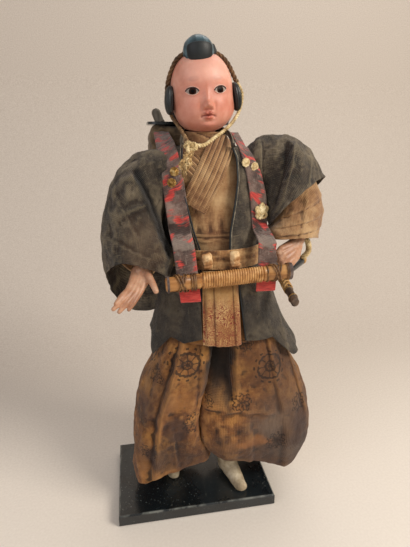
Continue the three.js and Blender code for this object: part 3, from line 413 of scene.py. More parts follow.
# A form turned about a line: a circle drawn out and resized step by step
def turnedForm(name, start, end, profile, sides=32, flatten=1.0, bevel=0.0, toWorld=place, smoothUnder=42):
    ring = {"vertices": sides, "radius": profile[0][1] / 1000, "fill_type": "NGON"}
    form = startForm(name, bpy.ops.mesh.primitive_circle_add, **ring)
    bpy.ops.object.mode_set(mode="EDIT")
    for (low, small), (high, big) in zip(profile, profile[1:]):
        bpy.ops.mesh.extrude_region_move(TRANSFORM_OT_translate={"value": (0, 0, (high - low) / 1000)})
        bpy.ops.transform.resize(value=(big / small, big / small, 1), center_override=(0, 0, 0))
    bpy.ops.mesh.select_all(action="SELECT")
    bpy.ops.mesh.normals_make_consistent(inside=False)
    bpy.ops.object.mode_set(mode="OBJECT")
    foot, tip = toWorld(start), toWorld(end)
    line = (tip - foot).normalized()
    across = line.cross(Vector((0, 0, 1)))
    across = across.normalized() if across.length > 0.01 else Vector((1, 0, 0))
    turned = Matrix((across * flatten, line.cross(across), line)).transposed().to_4x4()
    form.data.transform(Matrix.Translation(foot) @ turned)
    if bevel:
        addModifier(form, "BEVEL", width=bevel / 1000, segments=2)
        applyModifiers(form)
    onWholeMesh(bpy.ops.mesh.normals_make_consistent, inside=False)
    select(form)
    bpy.ops.object.shade_smooth_by_angle(angle=math.radians(smoothUnder))
    return form


# The body's outline under the clothes: height, middle x and y, half width, half depth
outline = [
    (140, 17, -1, 68, 43), (172, 12, -2, 54, 38), (205, 9, -3, 43, 32), (236, 6, -4, 35, 28),
    (262, 4, -3, 35, 26), (300, 1, -1, 38, 24), (314, 0, 1, 38, 21), (323, -1, 2, 34, 17.5),
    (329, -1, 2, 27, 15), (334, -1, 2, 18, 13), (342, -1, 2, 12, 12),
]


def outlineAt(z):
    last = len(outline) - 1
    i = 0
    while i < last - 1 and z > outline[i + 1][0]:
        i += 1
    low, high = outline[i], outline[i + 1]
    span = high[0] - low[0]
    t = (z - low[0]) / span
    values = []
    for key in range(1, 5):
        slopes = []
        for at in (i, i + 1):
            a, b = outline[max(at - 1, 0)], outline[min(at + 1, last)]
            slopes.append((b[key] - a[key]) / (b[0] - a[0]) * span)
        values.append(
            (2 * t ** 3 - 3 * t ** 2 + 1) * low[key] + (t ** 3 - 2 * t ** 2 + t) * slopes[0]
            + (3 * t ** 2 - 2 * t ** 3) * high[key] + (t ** 3 - t ** 2) * slopes[1]
        )
    return values


# A point outside the outline; the angle is 0 in front and grows to the doll's left
def aroundBody(angle, z, offset):
    x, y, wide, deep = outlineAt(z)
    turn = math.radians(angle)
    return Vector((x + (wide + offset) * math.sin(turn), y - (deep + offset) * math.cos(turn), z))


def angleAt(x, z, offset):
    middle, _, wide, _ = outlineAt(z)
    return math.degrees(math.asin(clamp((x - middle) / (wide + offset), -1, 1)))


def onFront(x, z, offset):
    return aroundBody(angleAt(x, z, offset), z, offset)


# How far a pleat lifts the cloth: a sharp edge along a line, fading out on the lapped side
def pleatStep(x, z, route, depth, fade, sign=1):
    (x0, z0), (x1, z1) = route
    line = Vector((x1 - x0, z1 - z0))
    gone = Vector((x - x0, z - z0))
    t = gone.dot(line) / line.length_squared
    beside = sign * (gone.x * line.y - gone.y * line.x) / line.length
    share = smooth(t, -0.06, 0.06) * (1 - smooth(t, 0.94, 1.06))
    if beside > 0:
        return depth * share * smooth(beside, 0, 1.0) * math.exp(-beside / fade)
    return -0.45 * depth * share * math.exp(beside / 3)


# Soft-edged ellipses of colour: middle x and z in millimetres, half width, half height, softness,
# colour and amount
def paintSpots(tree, base, across, up, spots, front=None):
    for middleX, middleZ, wide, high, soft, code, amount in spots:
        reach = []
        for value, middle, half in ((across, middleX, wide), (up, middleZ, high)):
            moved = addNode(tree, "Math", [value, middle / 1000], operation="SUBTRACT")
            scaled = addNode(tree, "Math", [moved, half / 1000], operation="DIVIDE")
            reach.append(addNode(tree, "Math", [scaled, scaled], operation="MULTIPLY"))
        total = addNode(tree, "Math", [reach[0], reach[1]], operation="ADD")
        share = addNode(
            tree, "MapRange",
            {"Value": total, "From Min": 1 + soft, "From Max": max(0.0, 1 - soft), "To Max": amount},
            interpolation_type="SMOOTHSTEP",
        )
        if front:
            share = addNode(tree, "Math", [share, front], operation="MULTIPLY")
        base = addNode(tree, "Mix", {0: share, 6: base, 7: colour(code)}, data_type="RGBA")
    return base


# Aged cloth: patches of colour, brown stains, threads that stand up a little and a dusty sheen
def agedCloth(
    name, deep, plain, light, stain, thread=1.1, patch=26, stained=0.5, sheen=0.25, rough=0.86, relief=0.5,
    rubbed=None,
):
    material, tree, shader = newMaterial(
        name, Roughness=rough, Sheen_Weight=sheen, Sheen_Roughness=0.5, Specular_IOR_Level=0.3
    )
    coords = addNode(tree, "TexCoord").node.outputs
    perMetre = 1000 / patch
    cloud = addNode(
        tree, "TexNoise", {"Vector": coords["Object"], "Scale": perMetre, "Detail": 6.0, "Roughness": 0.62}
    )
    base = addNode(tree, "ValToRGB", {"Fac": cloud}, stops=[(0.36, deep), (0.5, plain), (0.66, light)])
    blot = addNode(
        tree, "TexNoise",
        {
            "Vector": coords["Object"], "Scale": perMetre * 0.62, "Detail": 8.0, "Roughness": 0.7,
            "Distortion": 0.6,
        },
    )
    edge = addNode(
        tree, "MapRange", {"Value": blot, "From Min": 0.5, "From Max": 0.68, "To Max": stained},
        interpolation_type="SMOOTHSTEP",
    )
    toned = addNode(tree, "Mix", {0: edge, 6: base, 7: colour(stain)}, data_type="RGBA")
    if rubbed:
        # Threads that have lost their dye, in short streaks across the cloth
        for stretch in ((0.5, 7, 1), (6, 0.8, 1)):
            run = addNode(tree, "Mapping", {"Vector": coords["UV"], "Scale": stretch})
            streak = addNode(
                tree, "TexNoise", {"Vector": run, "Scale": 1.6, "Detail": 5.0, "Roughness": 0.7}
            )
            share = addNode(
                tree, "MapRange", {"Value": streak, "From Min": 0.54, "From Max": 0.7, "To Max": 0.55},
                interpolation_type="SMOOTHSTEP",
            )
            toned = addNode(tree, "Mix", {0: share, 6: toned, 7: colour(rubbed)}, data_type="RGBA")
    weaves = []
    for direction in ("X", "Y"):
        wave = addNode(
            tree, "TexWave",
            {
                "Vector": coords["UV"], "Scale": 3.14 / thread, "Distortion": 1.2, "Detail": 2.0,
                "Detail Scale": 1.5,
            },
            out="Fac", bands_direction=direction, wave_type="BANDS",
        )
        weaves.append(wave)
    woven = addNode(tree, "Math", [weaves[0], weaves[1]], operation="MULTIPLY")
    crease = addNode(
        tree, "TexNoise", {"Vector": coords["Object"], "Scale": 210.0, "Detail": 6.0, "Roughness": 0.7}
    )
    dust = addNode(tree, "MapRange", {"Value": woven, "To Min": 0.86, "To Max": 1.1})
    height = addNode(tree, "Attribute", out="Fac", attribute_name="wearAndShade")
    # Painted shade: hollows are painted darker in a dimmed stain tone; ridges are painted paler, partly
    # rubbed dye and partly painted highlight
    for start, end, amount, code in ((-0.15, -0.9, 0.8, stain), (0.25, 1.0, 0.42, rubbed or light)):
        share = addNode(
            tree, "MapRange", {"Value": height, "From Min": start, "From Max": end, "To Max": amount},
            interpolation_type="SMOOTHSTEP",
        )
        tone = colour(code)
        if start < 0:
            tone = (*(c * 0.45 for c in tone[:3]), 1)
        toned = addNode(tree, "Mix", {0: share, 6: toned, 7: tone}, data_type="RGBA")
    textured = addNode(tree, "Mix", {0: 1.0, 6: toned, 7: dust}, data_type="RGBA", blend_type="MULTIPLY")
    tree.links.new(textured, shader.inputs["Base Color"])
    height = addNode(tree, "Math", [crease, 2.2, woven], operation="MULTIPLY_ADD")
    bumped = addNode(tree, "Bump", {"Height": height, "Strength": relief, "Distance": 0.0009})
    tree.links.new(bumped, shader.inputs["Normal"])
    return material, tree, shader, textured


# A clouded ramp of colours with a fine grain: the clouds' scale, the roughness and the grain's strength
def rampMaterial(
    name, stops, scale, rough, relief, metallic=0.0, coat=0.0, stretch=(1, 1, 1), detail=4.0, reach=0.0003
):
    material, tree, shader = newMaterial(
        name, Roughness=rough, Metallic=metallic, Coat_Weight=coat, Coat_Roughness=0.15
    )
    coords = addNode(tree, "TexCoord", out="Object")
    mapped = addNode(tree, "Mapping", {"Vector": coords, "Scale": stretch})
    cloud = addNode(
        tree, "TexNoise", {"Vector": mapped, "Scale": scale, "Detail": detail, "Roughness": 0.6}
    )
    base = addNode(tree, "ValToRGB", {"Fac": cloud}, stops=stops)
    tree.links.new(base, shader.inputs["Base Color"])
    varied = addNode(tree, "MapRange", {"Value": cloud, "To Min": rough - 0.1, "To Max": rough + 0.12})
    tree.links.new(varied, shader.inputs["Roughness"])
    fine = addNode(tree, "TexNoise", {"Vector": mapped, "Scale": scale * 6, "Detail": 3.0})
    bumped = addNode(tree, "Bump", {"Height": fine, "Strength": relief, "Distance": reach})
    tree.links.new(bumped, shader.inputs["Normal"])
    return material, tree, shader, base


# Silk that was once ochre: warm tan with brown soiling
ochreSilk = agedCloth("agedOchreSilk", "#7E5638", "#A37B53", "#C7A478", "#66402A", rubbed="#C8A272")[0]
# Jacket silk: a dark grey-brown plain weave with brown patches and pale rubbed streaks
jacketSilk, tree, shader, dyed = agedCloth(
    "darkPlainSilk", "#241F1A", "#4A4035", "#7C6F5A", "#3E2816", sheen=0.12, rough=0.7, patch=22,
    relief=0.9, rubbed="#94866A",
)
parts = addNode(tree, "SeparateXYZ", {"Vector": addNode(tree, "TexCoord", out="Object")}).node.outputs
# Darker over the front of the skirt and low on the doll's right, with a paler patch on the right sleeve
patchedAndFoldShaded = paintSpots(
    tree, dyed, parts["X"], parts["Z"],
    [
        (14, 186, 72, 36, 0.5, "#1A1510", 0.42), (-42, 268, 16, 22, 0.9, "#6B5440", 0.45),
        (-20, 170, 22, 16, 0.8, "#15110D", 0.4),
    ],
)
# Painted shade: the sleeve's deep fold is painted near black, on the front only
ahead = addNode(tree, "MapRange", {"Value": parts["Y"], "From Min": -0.01, "From Max": -0.016})
foldShade = []
for i in range(9):
    t = i / 8
    middleX = mix(-44.5, -23.5, t) + 3 * t * (1 - t)
    foldShade.append((middleX, mix(320, 264, t), 2.6 + 2.4 * (1 - t) * t, 6.5, 0.85, "#0B0908", 0.85))
patchedAndFoldShaded = paintSpots(tree, patchedAndFoldShaded, parts["X"], parts["Z"], foldShade, ahead)
tree.links.new(patchedAndFoldShaded, shader.inputs["Base Color"])
# Belt hemp: a coarse brown weave, pale on its folds, partly worn and partly painted highlight
beltCloth = agedCloth("brownHempCloth", "#6A482C", "#9E7347", "#CBA472", "#3E2A18", patch=12)[0]
# Twisted silk cord, brown where it was handled and pale where it wasn't
goldCord = rampMaterial(
    "twistedSilkCord", [(0.3, "#866A42"), (0.5, "#CDB584"), (0.68, "#F1E4BE")], 120.0, 0.7, 0.5
)[0]
brownCord = rampMaterial(
    "brownSilkCord", [(0.32, "#3E2A18"), (0.52, "#6E5030"), (0.7, "#94744A")], 120.0, 0.7, 0.5
)[0]
# Hair is combed silk fibre, glossy along the strands
hairSilk = rampMaterial(
    "combedBlackSilk", [(0.3, "#06090A"), (0.55, "#0E1416"), (0.8, "#1E2A2E")], 420.0, 0.38, 0.6,
    stretch=(1, 1, 0.08), coat=0.15,
)[0]
# Lacquered paper cap: black under a grey-green bloom of dust
capLacquer = rampMaterial(
    "dustyLacquerPaper", [(0.3, "#16242B"), (0.5, "#2E464F"), (0.72, "#67828D")], 70.0, 0.4, 0.25, coat=0.15
)[0]
# Brass: dull gold metal, brown in its hollows
brass = rampMaterial(
    "agedBrass", [(0.3, "#5E4420"), (0.5, "#B08A4C"), (0.7, "#E2CB92")], 260.0, 0.42, 0.4, metallic=0.7
)[0]
# Piping silk: grey and without shine
agedPiping = rampMaterial(
    "agedPiping", [(0.3, "#4A443A"), (0.5, "#7E7564"), (0.7, "#A89E8A")], 300.0, 0.6, 0.4
)[0]
# Ivory: cream, yellowed in patches
shellButton = rampMaterial(
    "ivoryStud", [(0.3, "#8E6A3C"), (0.5, "#D3BC8C"), (0.7, "#F0E2C0")], 300.0, 0.5, 0.5
)[0]
# Split cane: glossy tan with streaks along the bar
cane = rampMaterial(
    "splitCane", [(0.3, "#6E4420"), (0.5, "#A9753F"), (0.72, "#CFA064")], 60.0, 0.42, 0.35, coat=0.15,
    stretch=(0.25, 2, 2),
)[0]
# Cane thread: a row of light edges over brown gaps
caneThread = rampMaterial(
    "caneThread", [(0.3, "#7E5228"), (0.5, "#B5824A"), (0.72, "#D9AE74")], 140.0, 0.5, 0.4
)[0]
# Knotted cotton socks, off-white with grey soiling
sockCotton = rampMaterial(
    "offWhiteSock", [(0.3, "#76664F"), (0.48, "#A8977B"), (0.7, "#CFC2A8")], 90.0, 0.8, 0.4
)[0]
print("cloths and trims are mixed")

# The head: an egg with a doll's small features, with z up its own axis
head = {
    "middle": 370.5, "halfWide": 25.0, "halfDeep": 25, "high": 31, "low": 29.3, "crown": 2.3, "jaw": 2.7,
    "eyeX": 10.9, "eyeZ": 370.9, "eyeWide": 4.9, "eyeHigh": 2.8, "noseZ": 360.3, "mouthZ": 353.4,
    "eyeThick": 1.2, "neckZ": 336, "neckRadius": 8.5, "neckLength": 27,
}


def headSkin(angle, z, offset=0.0):
    low = z < head["middle"]
    t = clamp((z - head["middle"]) / (head["low" if low else "high"] + offset), -1, 1)
    c, s = math.cos(angle), math.sin(angle)
    power = head["jaw"] if low else head["crown"]
    wide = (
        (head["halfWide"] + offset)
        * (1 - abs(t) ** power) ** (1 / power)
        * (1 - 0.05 * t * t if low else 1)
    )
    facing = 3.4 if low and c > 0 else 2.2
    deep = (head["halfDeep"] + offset) * (1 - abs(t) ** facing) ** (1 / facing)
    x = wide * s + 1.9 * bump(z, 355, 8.5) * smooth(s, 0.5, 1)
    if c <= 0:
        return Vector((x, -deep * c, z))
    up = z - head["noseZ"]
    mouth = z - head["mouthZ"]
    eye = z - head["eyeZ"]
    side = abs(x) - head["eyeX"]
    reliefs = [
        1.8 * bump(x, 0, 2.9) * smooth(z, 355, 362) * (1 - smooth(z, 363, 377)),  # bridge of the nose
        3.1 * bump(x, 0, 2.7) * bump(up, 0.4, 2.6),  # its tip
        1.7 * bump(abs(x), 3.2, 1.3) * bump(up, -0.8, 1.6),  # its wings
        -0.8 * bump(abs(x), 5.6, 1.2) * bump(up, -0.8, 2.6),  # creases beside them
        -0.9 * bump(abs(x), 1.7, 0.9) * bump(up, -3.0, 0.9),  # nostrils
        2.1 * bump(abs(x), 1.5, 2.0) * bump(mouth, 1.5, 1.4),  # upper lip
        2.2 * bump(x, 0, 2.6) * bump(mouth, -1.8, 1.3),  # lower lip
        -1.5 * bump(x, 0, 4.4) * bump(mouth, -0.03 * x * x, 0.5),  # line between the lips
        -1.0 * bump(abs(x), 5.0, 1.3) * bump(mouth, -1.0, 1.5),  # corners of the mouth
        -0.4 * bump(x, 0, 1.1) * bump(mouth, 4.0, 1.6),  # groove above the lips
        -1.1 * bump(x, 0, 5) * bump(mouth, -4.6, 1.5),  # hollow below them
        1.6 * bump(x, 0, 6.0) * bump(z, 345.2, 3.6),  # chin
        0.9 * bump(abs(x), 13, 7) * bump(z, 356, 8),  # cheeks
        -1.7 * bump(side, -0.5, 7) * bump(eye, 0, 5.5),  # eye sockets
        1.3 * bump(side, 0, 5.6) * bump(eye, 0, 3.8),  # eyeballs under the lids
        0.6 * bump(side, 0.5, 6) * bump(eye, 8.5, 3.2),  # brows
    ]
    return Vector((x, -(deep * c + sum(reliefs) * smooth(c, 0, 0.35)), z))


# The skin's front at a place on the face
def onFace(x, z, offset=0.0):
    angle = 0.0
    for _ in range(14):
        angle += (x - headSkin(angle, z).x) / max(6.0, head["halfWide"] * math.cos(angle))
    return headSkin(angle, z) + Vector((0, -offset, 0))


skull = startForm(
    "gofun_head", bpy.ops.mesh.primitive_uv_sphere_add, segments=208, ring_count=168, radius=1
)
for vertex in skull.data.vertices:
    x, y, z = vertex.co
    turn = math.atan2(x, -y)
    half = head["low" if z < 0 else "high"]
    at = headSkin(turn - 0.42 * math.sin(turn), head["middle"] + half * 0.9995 * clamp(z, -1, 1))
    if abs(z) > 0.99999:
        at.x = at.y = 0
    vertex.co = placeOnHead(at)
bpy.ops.object.mode_set(mode="EDIT")
bpy.ops.mesh.select_all(action="DESELECT")
bpy.ops.mesh.primitive_cylinder_add(
    vertices=48, radius=head["neckRadius"] / 1000, depth=head["neckLength"] / 1000, end_fill_type="TRIFAN",
    location=placeOnHead((0, 0, head["neckZ"])),
)
bpy.ops.object.mode_set(mode="OBJECT")
bpy.ops.object.shade_smooth()

skinTone = {"plain": "#D3907A", "light": "#E6B09C", "deep": "#BE7660", "lip": "#8E3A30", "brow": "#A3624F"}


def gofunSkin(name, tones, painted=()):
    # Gofun is ground shell in glue over wood, polished: an even, waxy sheen. On the face, painted spots
    # darken the hollows under the chin and nose as painted shade
    material, tree, shader = newMaterial(
        name, Roughness=0.42, Subsurface_Weight=0.08, Subsurface_Scale=0.001, Coat_Weight=0.1,
        Coat_Roughness=0.35,
    )
    coords = addNode(tree, "TexCoord", out="Object")
    cloud = addNode(tree, "TexNoise", {"Vector": coords, "Scale": 60.0, "Detail": 4.0, "Roughness": 0.6})
    fine = addNode(tree, "TexNoise", {"Vector": coords, "Scale": 900.0, "Detail": 2.0})
    base = addNode(tree, "ValToRGB", {"Fac": cloud}, stops=zip((0.3, 0.5, 0.75), tones))
    if painted:
        middle = placeOnHead((0, 0, head["middle"]))
        turned = addNode(
            tree, "Mapping", {"Vector": coords, "Location": middle, "Rotation": headPose.to_euler()},
            vector_type="TEXTURE",
        )
        x, y, z = addNode(tree, "SeparateXYZ", {"Vector": turned}).node.outputs
        sideways = addNode(tree, "Math", [x], operation="ABSOLUTE")
        front = addNode(tree, "Math", [y, -0.012], operation="LESS_THAN")
        # Spots off the middle are painted on both cheeks
        for group in (True, False):
            chosen = [spot for spot in painted if (spot[0] > 0) == group]
            spots = [(spot[0], spot[1] - head["middle"], *spot[2:]) for spot in chosen]
            base = paintSpots(tree, base, sideways if group else x, z, spots, front)
    tree.links.new(base, shader.inputs["Base Color"])
    rough = addNode(tree, "MapRange", {"Value": cloud, "To Min": 0.36, "To Max": 0.56})
    tree.links.new(rough, shader.inputs["Roughness"])
    relief = addNode(tree, "Bump", {"Height": fine, "Strength": 0.06, "Distance": 0.0002})
    tree.links.new(relief, shader.inputs["Normal"])
    return material


faceTones = [skinTone[key] for key in ("deep", "plain", "light")]
faceSkin = gofunSkin("gofunFace", faceTones, [
    (0, 341, 22, 9, 0.9, "#B86A58", 0.45),  # painted shade under the chin
    (0, head["mouthZ"] + 1.6, 3.8, 1.4, 0.8, "#A04634", 0.75),
    (0, head["mouthZ"] - 1.9, 3.2, 1.5, 0.8, "#B85A48", 0.7),
    (0, head["mouthZ"] - 0.1, 5.0, 0.8, 0.7, skinTone["lip"], 0.85),
    (4.9, head["mouthZ"] - 0.7, 1.0, 0.8, 0.9, "#8E463A", 0.5),  # corners of the mouth
    (9.2, head["eyeZ"] + 8.8, 4.0, 1.8, 0.9, skinTone["brow"], 0.55),  # brows
    (head["eyeX"], head["eyeZ"] + 0.4, 7.8, 4.2, 0.8, "#BE7866", 0.5),
    (14.0, 357.5, 8.5, 8.0, 1.0, "#CC7660", 0.35),  # cheeks
    # painted shade under the nose
    (0, head["noseZ"] - 3.0, 3.8, 1.1, 0.9, "#9A4E42", 0.5),
    (0, 386, 16, 9, 1.0, "#E4B4A4", 0.45),  # forehead
])
handSkin = gofunSkin("gofunHands", ["#8E6048", "#B28264", "#D2AC90"])
finishPiece(skull, faceSkin, "head", "gofun", "head")

# Glass eyes: an almond of eye white with a brown iris, under a painted lid line
glassEye, tree, shader = newMaterial("glassEye", Roughness=0.34, IOR=1.4, Specular_IOR_Level=0.08)
uv = addNode(tree, "TexCoord", out="UV")
fromIris = addNode(tree, "VectorMath", [uv, (0.5, 0.5, 0)], operation="DISTANCE")
irisStops = [
    (0.0, "#060303"), (0.13, "#080404"), (0.16, "#24130C"), (0.25, "#33190E"), (0.285, "#140A08"),
    (0.325, "#9C9088"),
]
irisRamp = addNode(tree, "ValToRGB", {"Fac": fromIris}, stops=irisStops)
tree.links.new(irisRamp, shader.inputs["Base Color"])
# Ink gives the lids a dark line, and paler gofun their rims
lashInk = rampMaterial("lashInk", [(0.3, "#1C1210"), (0.7, "#3A2620")], 200.0, 0.6, 0.1)[0]
lidGofun = rampMaterial("palerGofun", [(0.3, "#D09A86"), (0.7, "#E6C0B0")], 200.0, 0.45, 0.1)[0]
for sign, side in ((-1, "right"), (1, "left")):
    middleX = sign * head["eyeX"]
    rise = lambda a: head["eyeHigh"] * (1 - a * a) ** 0.62
    fall = lambda a: 0.86 * head["eyeHigh"] * (1 - a * a) ** 0.8
    slant = lambda a: head["eyeZ"] + 0.35 * a * sign
    grid = {"x_subdivisions": 28, "y_subdivisions": 12, "size": 2}
    eye = startForm(side + "_glass_eye", bpy.ops.mesh.primitive_grid_add, **grid)
    spots = []
    for vertex in eye.data.vertices:
        a, b = clamp(vertex.co.x, -0.995, 0.995), vertex.co.y
        x = middleX + a * head["eyeWide"]
        z = slant(a) + (b * rise(a) if b > 0 else b * fall(a))
        spots.append((x - middleX, z - head["eyeZ"]))
        rounded = 0.35 * (1 - a * a) * (1 - b * b)
        vertex.co = placeOnHead(onFace(x, z, 0.12 + rounded))
    for loop, corner in zip(eye.data.uv_layers["UVMap"].data, eye.data.loops):
        across, up = spots[corner.vertex_index]
        loop.uv = (0.5 + (across + 0.2 * sign) / 9, 0.5 + (up - 0.15) / 9)
    eye.data.update()
    turnOut(eye, lambda p: placeOnHead((0, 0, head["eyeZ"])))
    addModifier(eye, "SOLIDIFY", thickness=head["eyeThick"] / 1000, offset=-1)
    applyModifiers(eye)
    bpy.ops.object.shade_smooth()
    finishPiece(eye, glassEye, "head", "eye", side + "_eye")

    spans = [i / 24 * 1.98 - 0.99 for i in range(25)]
    upper = [onFace(middleX + a * head["eyeWide"], slant(a) + rise(a), 0.35) for a in spans]
    lower = [onFace(middleX + a * head["eyeWide"], slant(a) - fall(a), 0.25) for a in spans]
    crease = [onFace(middleX + a * (head["eyeWide"] + 0.4), slant(a) + rise(a) + 0.85, 0.15) for a in spans]
    lash = strandCord(side + "_lash_line", [upper], 1, 0, 0.36, 1, placeOnHead)
    finishPiece(lash, lashInk, "head", "hair")
    lid = strandCord(side + "_lid_rims", [crease, lower], 1, 0, 0.24, 1, placeOnHead)
    finishPiece(lid, lidGofun, "head", "gofun")
print("face is shaped")

# Cap: a twelve-sided dome of lacquered paper with a black band round its foot and a small side lobe
capShape = {
    "foot": (-1.6, -10.0, 390.4), "top": (-1.6, -3.4, 413), "sides": 12,
    "levels": [
        (0, 7.6), (1.6, 9.2), (5, 11.0), (9.5, 12.1), (13, 12.0), (16, 10.8), (18.8, 8.4), (21, 5.4),
        (22.4, 2.6), (22.9, 0.8),
    ],
    "band": [(-0.5, 7.9), (1.6, 9.7), (5, 11.5), (9.5, 12.5), (11.8, 12.5), (12.4, 11.9)],
}
capDome = turnedForm(
    "pilgrim_cap", capShape["foot"], capShape["top"], capShape["levels"], capShape["sides"], bevel=0.4,
    toWorld=placeOnHead, smoothUnder=22,
)
finishPiece(capDome, capLacquer, "head", "cap", "cap")
capFoot = Vector(capShape["foot"])
capLine = (Vector(capShape["top"]) - capFoot).normalized()
band = capShape["band"]
capBand = turnedForm(
    "cap_band", capFoot + capLine * band[0][0], capShape["top"], [(z - band[0][0], r) for z, r in band], 48,
    bevel=0.3, toWorld=placeOnHead,
)
# Black lacquer: a dark, almost dull foot for the cap
bandBlack = rampMaterial(
    "blackLacquerBand", [(0.3, "#04080A"), (0.55, "#0B1215"), (0.8, "#1B262C")], 60.0, 0.55, 0.2, coat=0.03
)[0]
footAt = placeOnHead(capFoot)
for vertex in capBand.data.vertices:
    # The band's upper edge dips at the back and its shell sinks into the dome there
    behind = smooth(vertex.co.y - footAt.y, -0.006, 0.003)
    vertex.co = vertex.co.lerp(footAt + Vector((0, 0.003, 0.008)), 0.32 * behind)
finishPiece(capBand, bandBlack, "head", "cap")
lobe = meltedForm(
    "cap_side_lobe", [[((8.8, -6.5, 396.5), 2.4), ((10.8, -6.0, 400.5), 2.4), ((10.2, -5.4, 404), 1.8)]],
    0.5, 3, placeOnHead,
)
finishPiece(lobe, bandBlack, "head", "cap")

# Side locks and back hair, combed in strands
lockShape = {"at": (26.4, -4.8, 366.8), "half": (3.7, 7.2, 10.8), "strands": 14}
hairShape = {"from": 106, "to": 254, "bottom": 346.5, "top": 397, "proud": 2.1}
for sign, side in ((-1, "right"), (1, "left")):
    ball = {"segments": 64, "ring_count": 40, "radius": 1}
    lock = startForm(side + "_hair_lock", bpy.ops.mesh.primitive_uv_sphere_add, **ball)
    outX, lockY, lockZ = lockShape["at"]
    wide, deep, high = lockShape["half"]
    for vertex in lock.data.vertices:
        x, y, z = vertex.co
        turn = math.atan2(y, x)
        blunt = (abs(z) ** 2.5 + max(0.0, x * x + y * y) ** 1.25) ** (-1 / 2.5)
        strand = 1 + 0.05 * math.cos(lockShape["strands"] * turn + 1.2 * z)
        middle = Vector((sign * (outX + 0.9 * (1 - z * z) - 1.0 * z), lockY, lockZ - 0.2 * sign))
        shell = Vector((x * wide * blunt * strand, y * deep * blunt * strand, z * high * blunt))
        vertex.co = placeOnHead(middle + shell)
    bpy.ops.object.shade_smooth()
    finishPiece(lock, hairSilk, "head", "hair", side + "_side_lock")


def backHairShape(u, v):
    turn = math.radians(mix(hairShape["from"], hairShape["to"], u))
    z = mix(hairShape["bottom"] - 1.5 * math.sin(9 * u), hairShape["top"], v)
    out = (
        hairShape["proud"]
        + 0.35 * math.cos(math.degrees(turn) * 0.9)
        + 0.25 * math.cos(math.degrees(turn) * 2.3)
    )
    return headPose @ headSkin(turn, z, out)


backHair = clothGrid(
    "combed_back_hair", 120, 30, backHairShape, (60, 50), axis=lambda p: placeOnHead((0, 0, 370))
)
finishCloth(backHair, 1.9, 0)
finishPiece(backHair, hairSilk, "head", "hair", "back_hair")

# Cords from the cap down both sides of the head to a knot beside the chin
knotAt = headPose.inverted() @ Vector((-18.5, -39, 330))
tasselEnd = headPose.inverted() @ Vector((-26.3, -42.5, 307.8))
cordRoutes = {
    "right": [
        (-11.5, -2.5, 400.5), (-18.5, -1.5, 396), (-24.2, -0.5, 386.6), (-27.2, 0, 378), (-28.2, 0.8, 368),
        (-26.2, 0, 356), (-22.6, -8, 348.2), (-19.2, -21, 339), tuple(knotAt + Vector((-1.2, 3.4, 3.2))),
    ],
    "left": [
        (9.5, -2.5, 400.8), (17.5, -1.5, 397), (23.3, -0.5, 390.5), (27.4, -1.5, 381), (32.2, -4, 369),
        (29.6, -5, 357), (22.5, -10, 348), (13, -20.5, 341.8), (3, -28, 336.8), (-6, -33.5, 332.2),
        tuple(knotAt + Vector((3.6, 0.5, 0.8))),
    ],
}
# The same silk cord, darker: browned by hands and with painted shade, for the lower cord on the doll's
# right side
soiledAndShadedCord = rampMaterial(
    "soiledAndShadedGoldCord", [(0.3, "#4A331F"), (0.52, "#7E6140"), (0.72, "#B2946A")], 260.0, 0.7, 0.5
)[0]
cordSplit = {"right": 0.6, "left": 0.33}  # share of each cord that is handled brown
for side, route in cordRoutes.items():
    path = throughPoints(route, 150)
    at = round(150 * cordSplit[side])
    upper = strandCord(side + "_head_cord_top", [path[:at + 1]], 3, 1.0, 0.95, 11, placeOnHead)
    finishPiece(upper, brownCord, "head", "gold_cord", side + "_head_cord")
    lower = strandCord(side + "_head_cord_low", [path[at - 4:]], 2, 0.78, 0.82, 4.6, placeOnHead)
    # The lower cord on the doll's right is darker: soil and painted shade
    finishPiece(lower, goldCord if side == "left" else soiledAndShadedCord, "head", "gold_cord", side + "_head_cord")

# Knot: a closed trefoil of doubled cord, with a crinkled tassel of loose threads
loops = []
for turn in (0.0, 0.55):
    loop = []
    for i in range(97):
        t = 2 * math.pi * i / 96
        x, y, z = math.sin(t) + 2 * math.sin(2 * t), -math.sin(3 * t), math.cos(t) - 2 * math.cos(2 * t)
        flat = Vector((x, y, z))
        bend = Vector((flat.x * 1.55, flat.y * 1.6 - turn, flat.z * 1.3))
        loop.append(knotAt + Matrix.Rotation(turn, 3, "Y") @ bend)
    loops.append(loop)
knot = strandCord("cord_knot_loops", loops, 2, 0.55, 0.66, 3.2, placeOnHead)
finishPiece(knot, goldCord, "head", "gold_cord", "cord_knot")

threads = []
tasselTop = knotAt + Vector((-0.8, -0.6, -2.5))
for k in range(44):
    turn = 2 * math.pi * random.random()
    out = 3.3 * math.sqrt(random.random())
    wave, phase, ends = random.uniform(1.6, 2.8), random.uniform(0, 6.3), random.uniform(0.55, 1.0)
    thread = []
    for i in range(29):
        t = i / 28 * ends
        spread = out * (0.45 + 0.75 * math.sin(math.pi * min(1, t * 1.1)) + 0.25 * math.sin(16 * t))
        away = Vector((
            spread * math.cos(turn) + 0.75 * math.sin(wave * 12 * t + phase),
            0.8 * spread * math.sin(turn) + 0.6 * math.cos(wave * 10 * t + phase),
            0.8 * math.cos(wave * 13 * t + phase),
        ))
        thread.append(tasselTop.lerp(tasselEnd, t) + away)
    threads.append(thread)
tassel = strandCord("crinkled_tassel", threads, 1, 0, 0.46, 1, placeOnHead, sides=1)
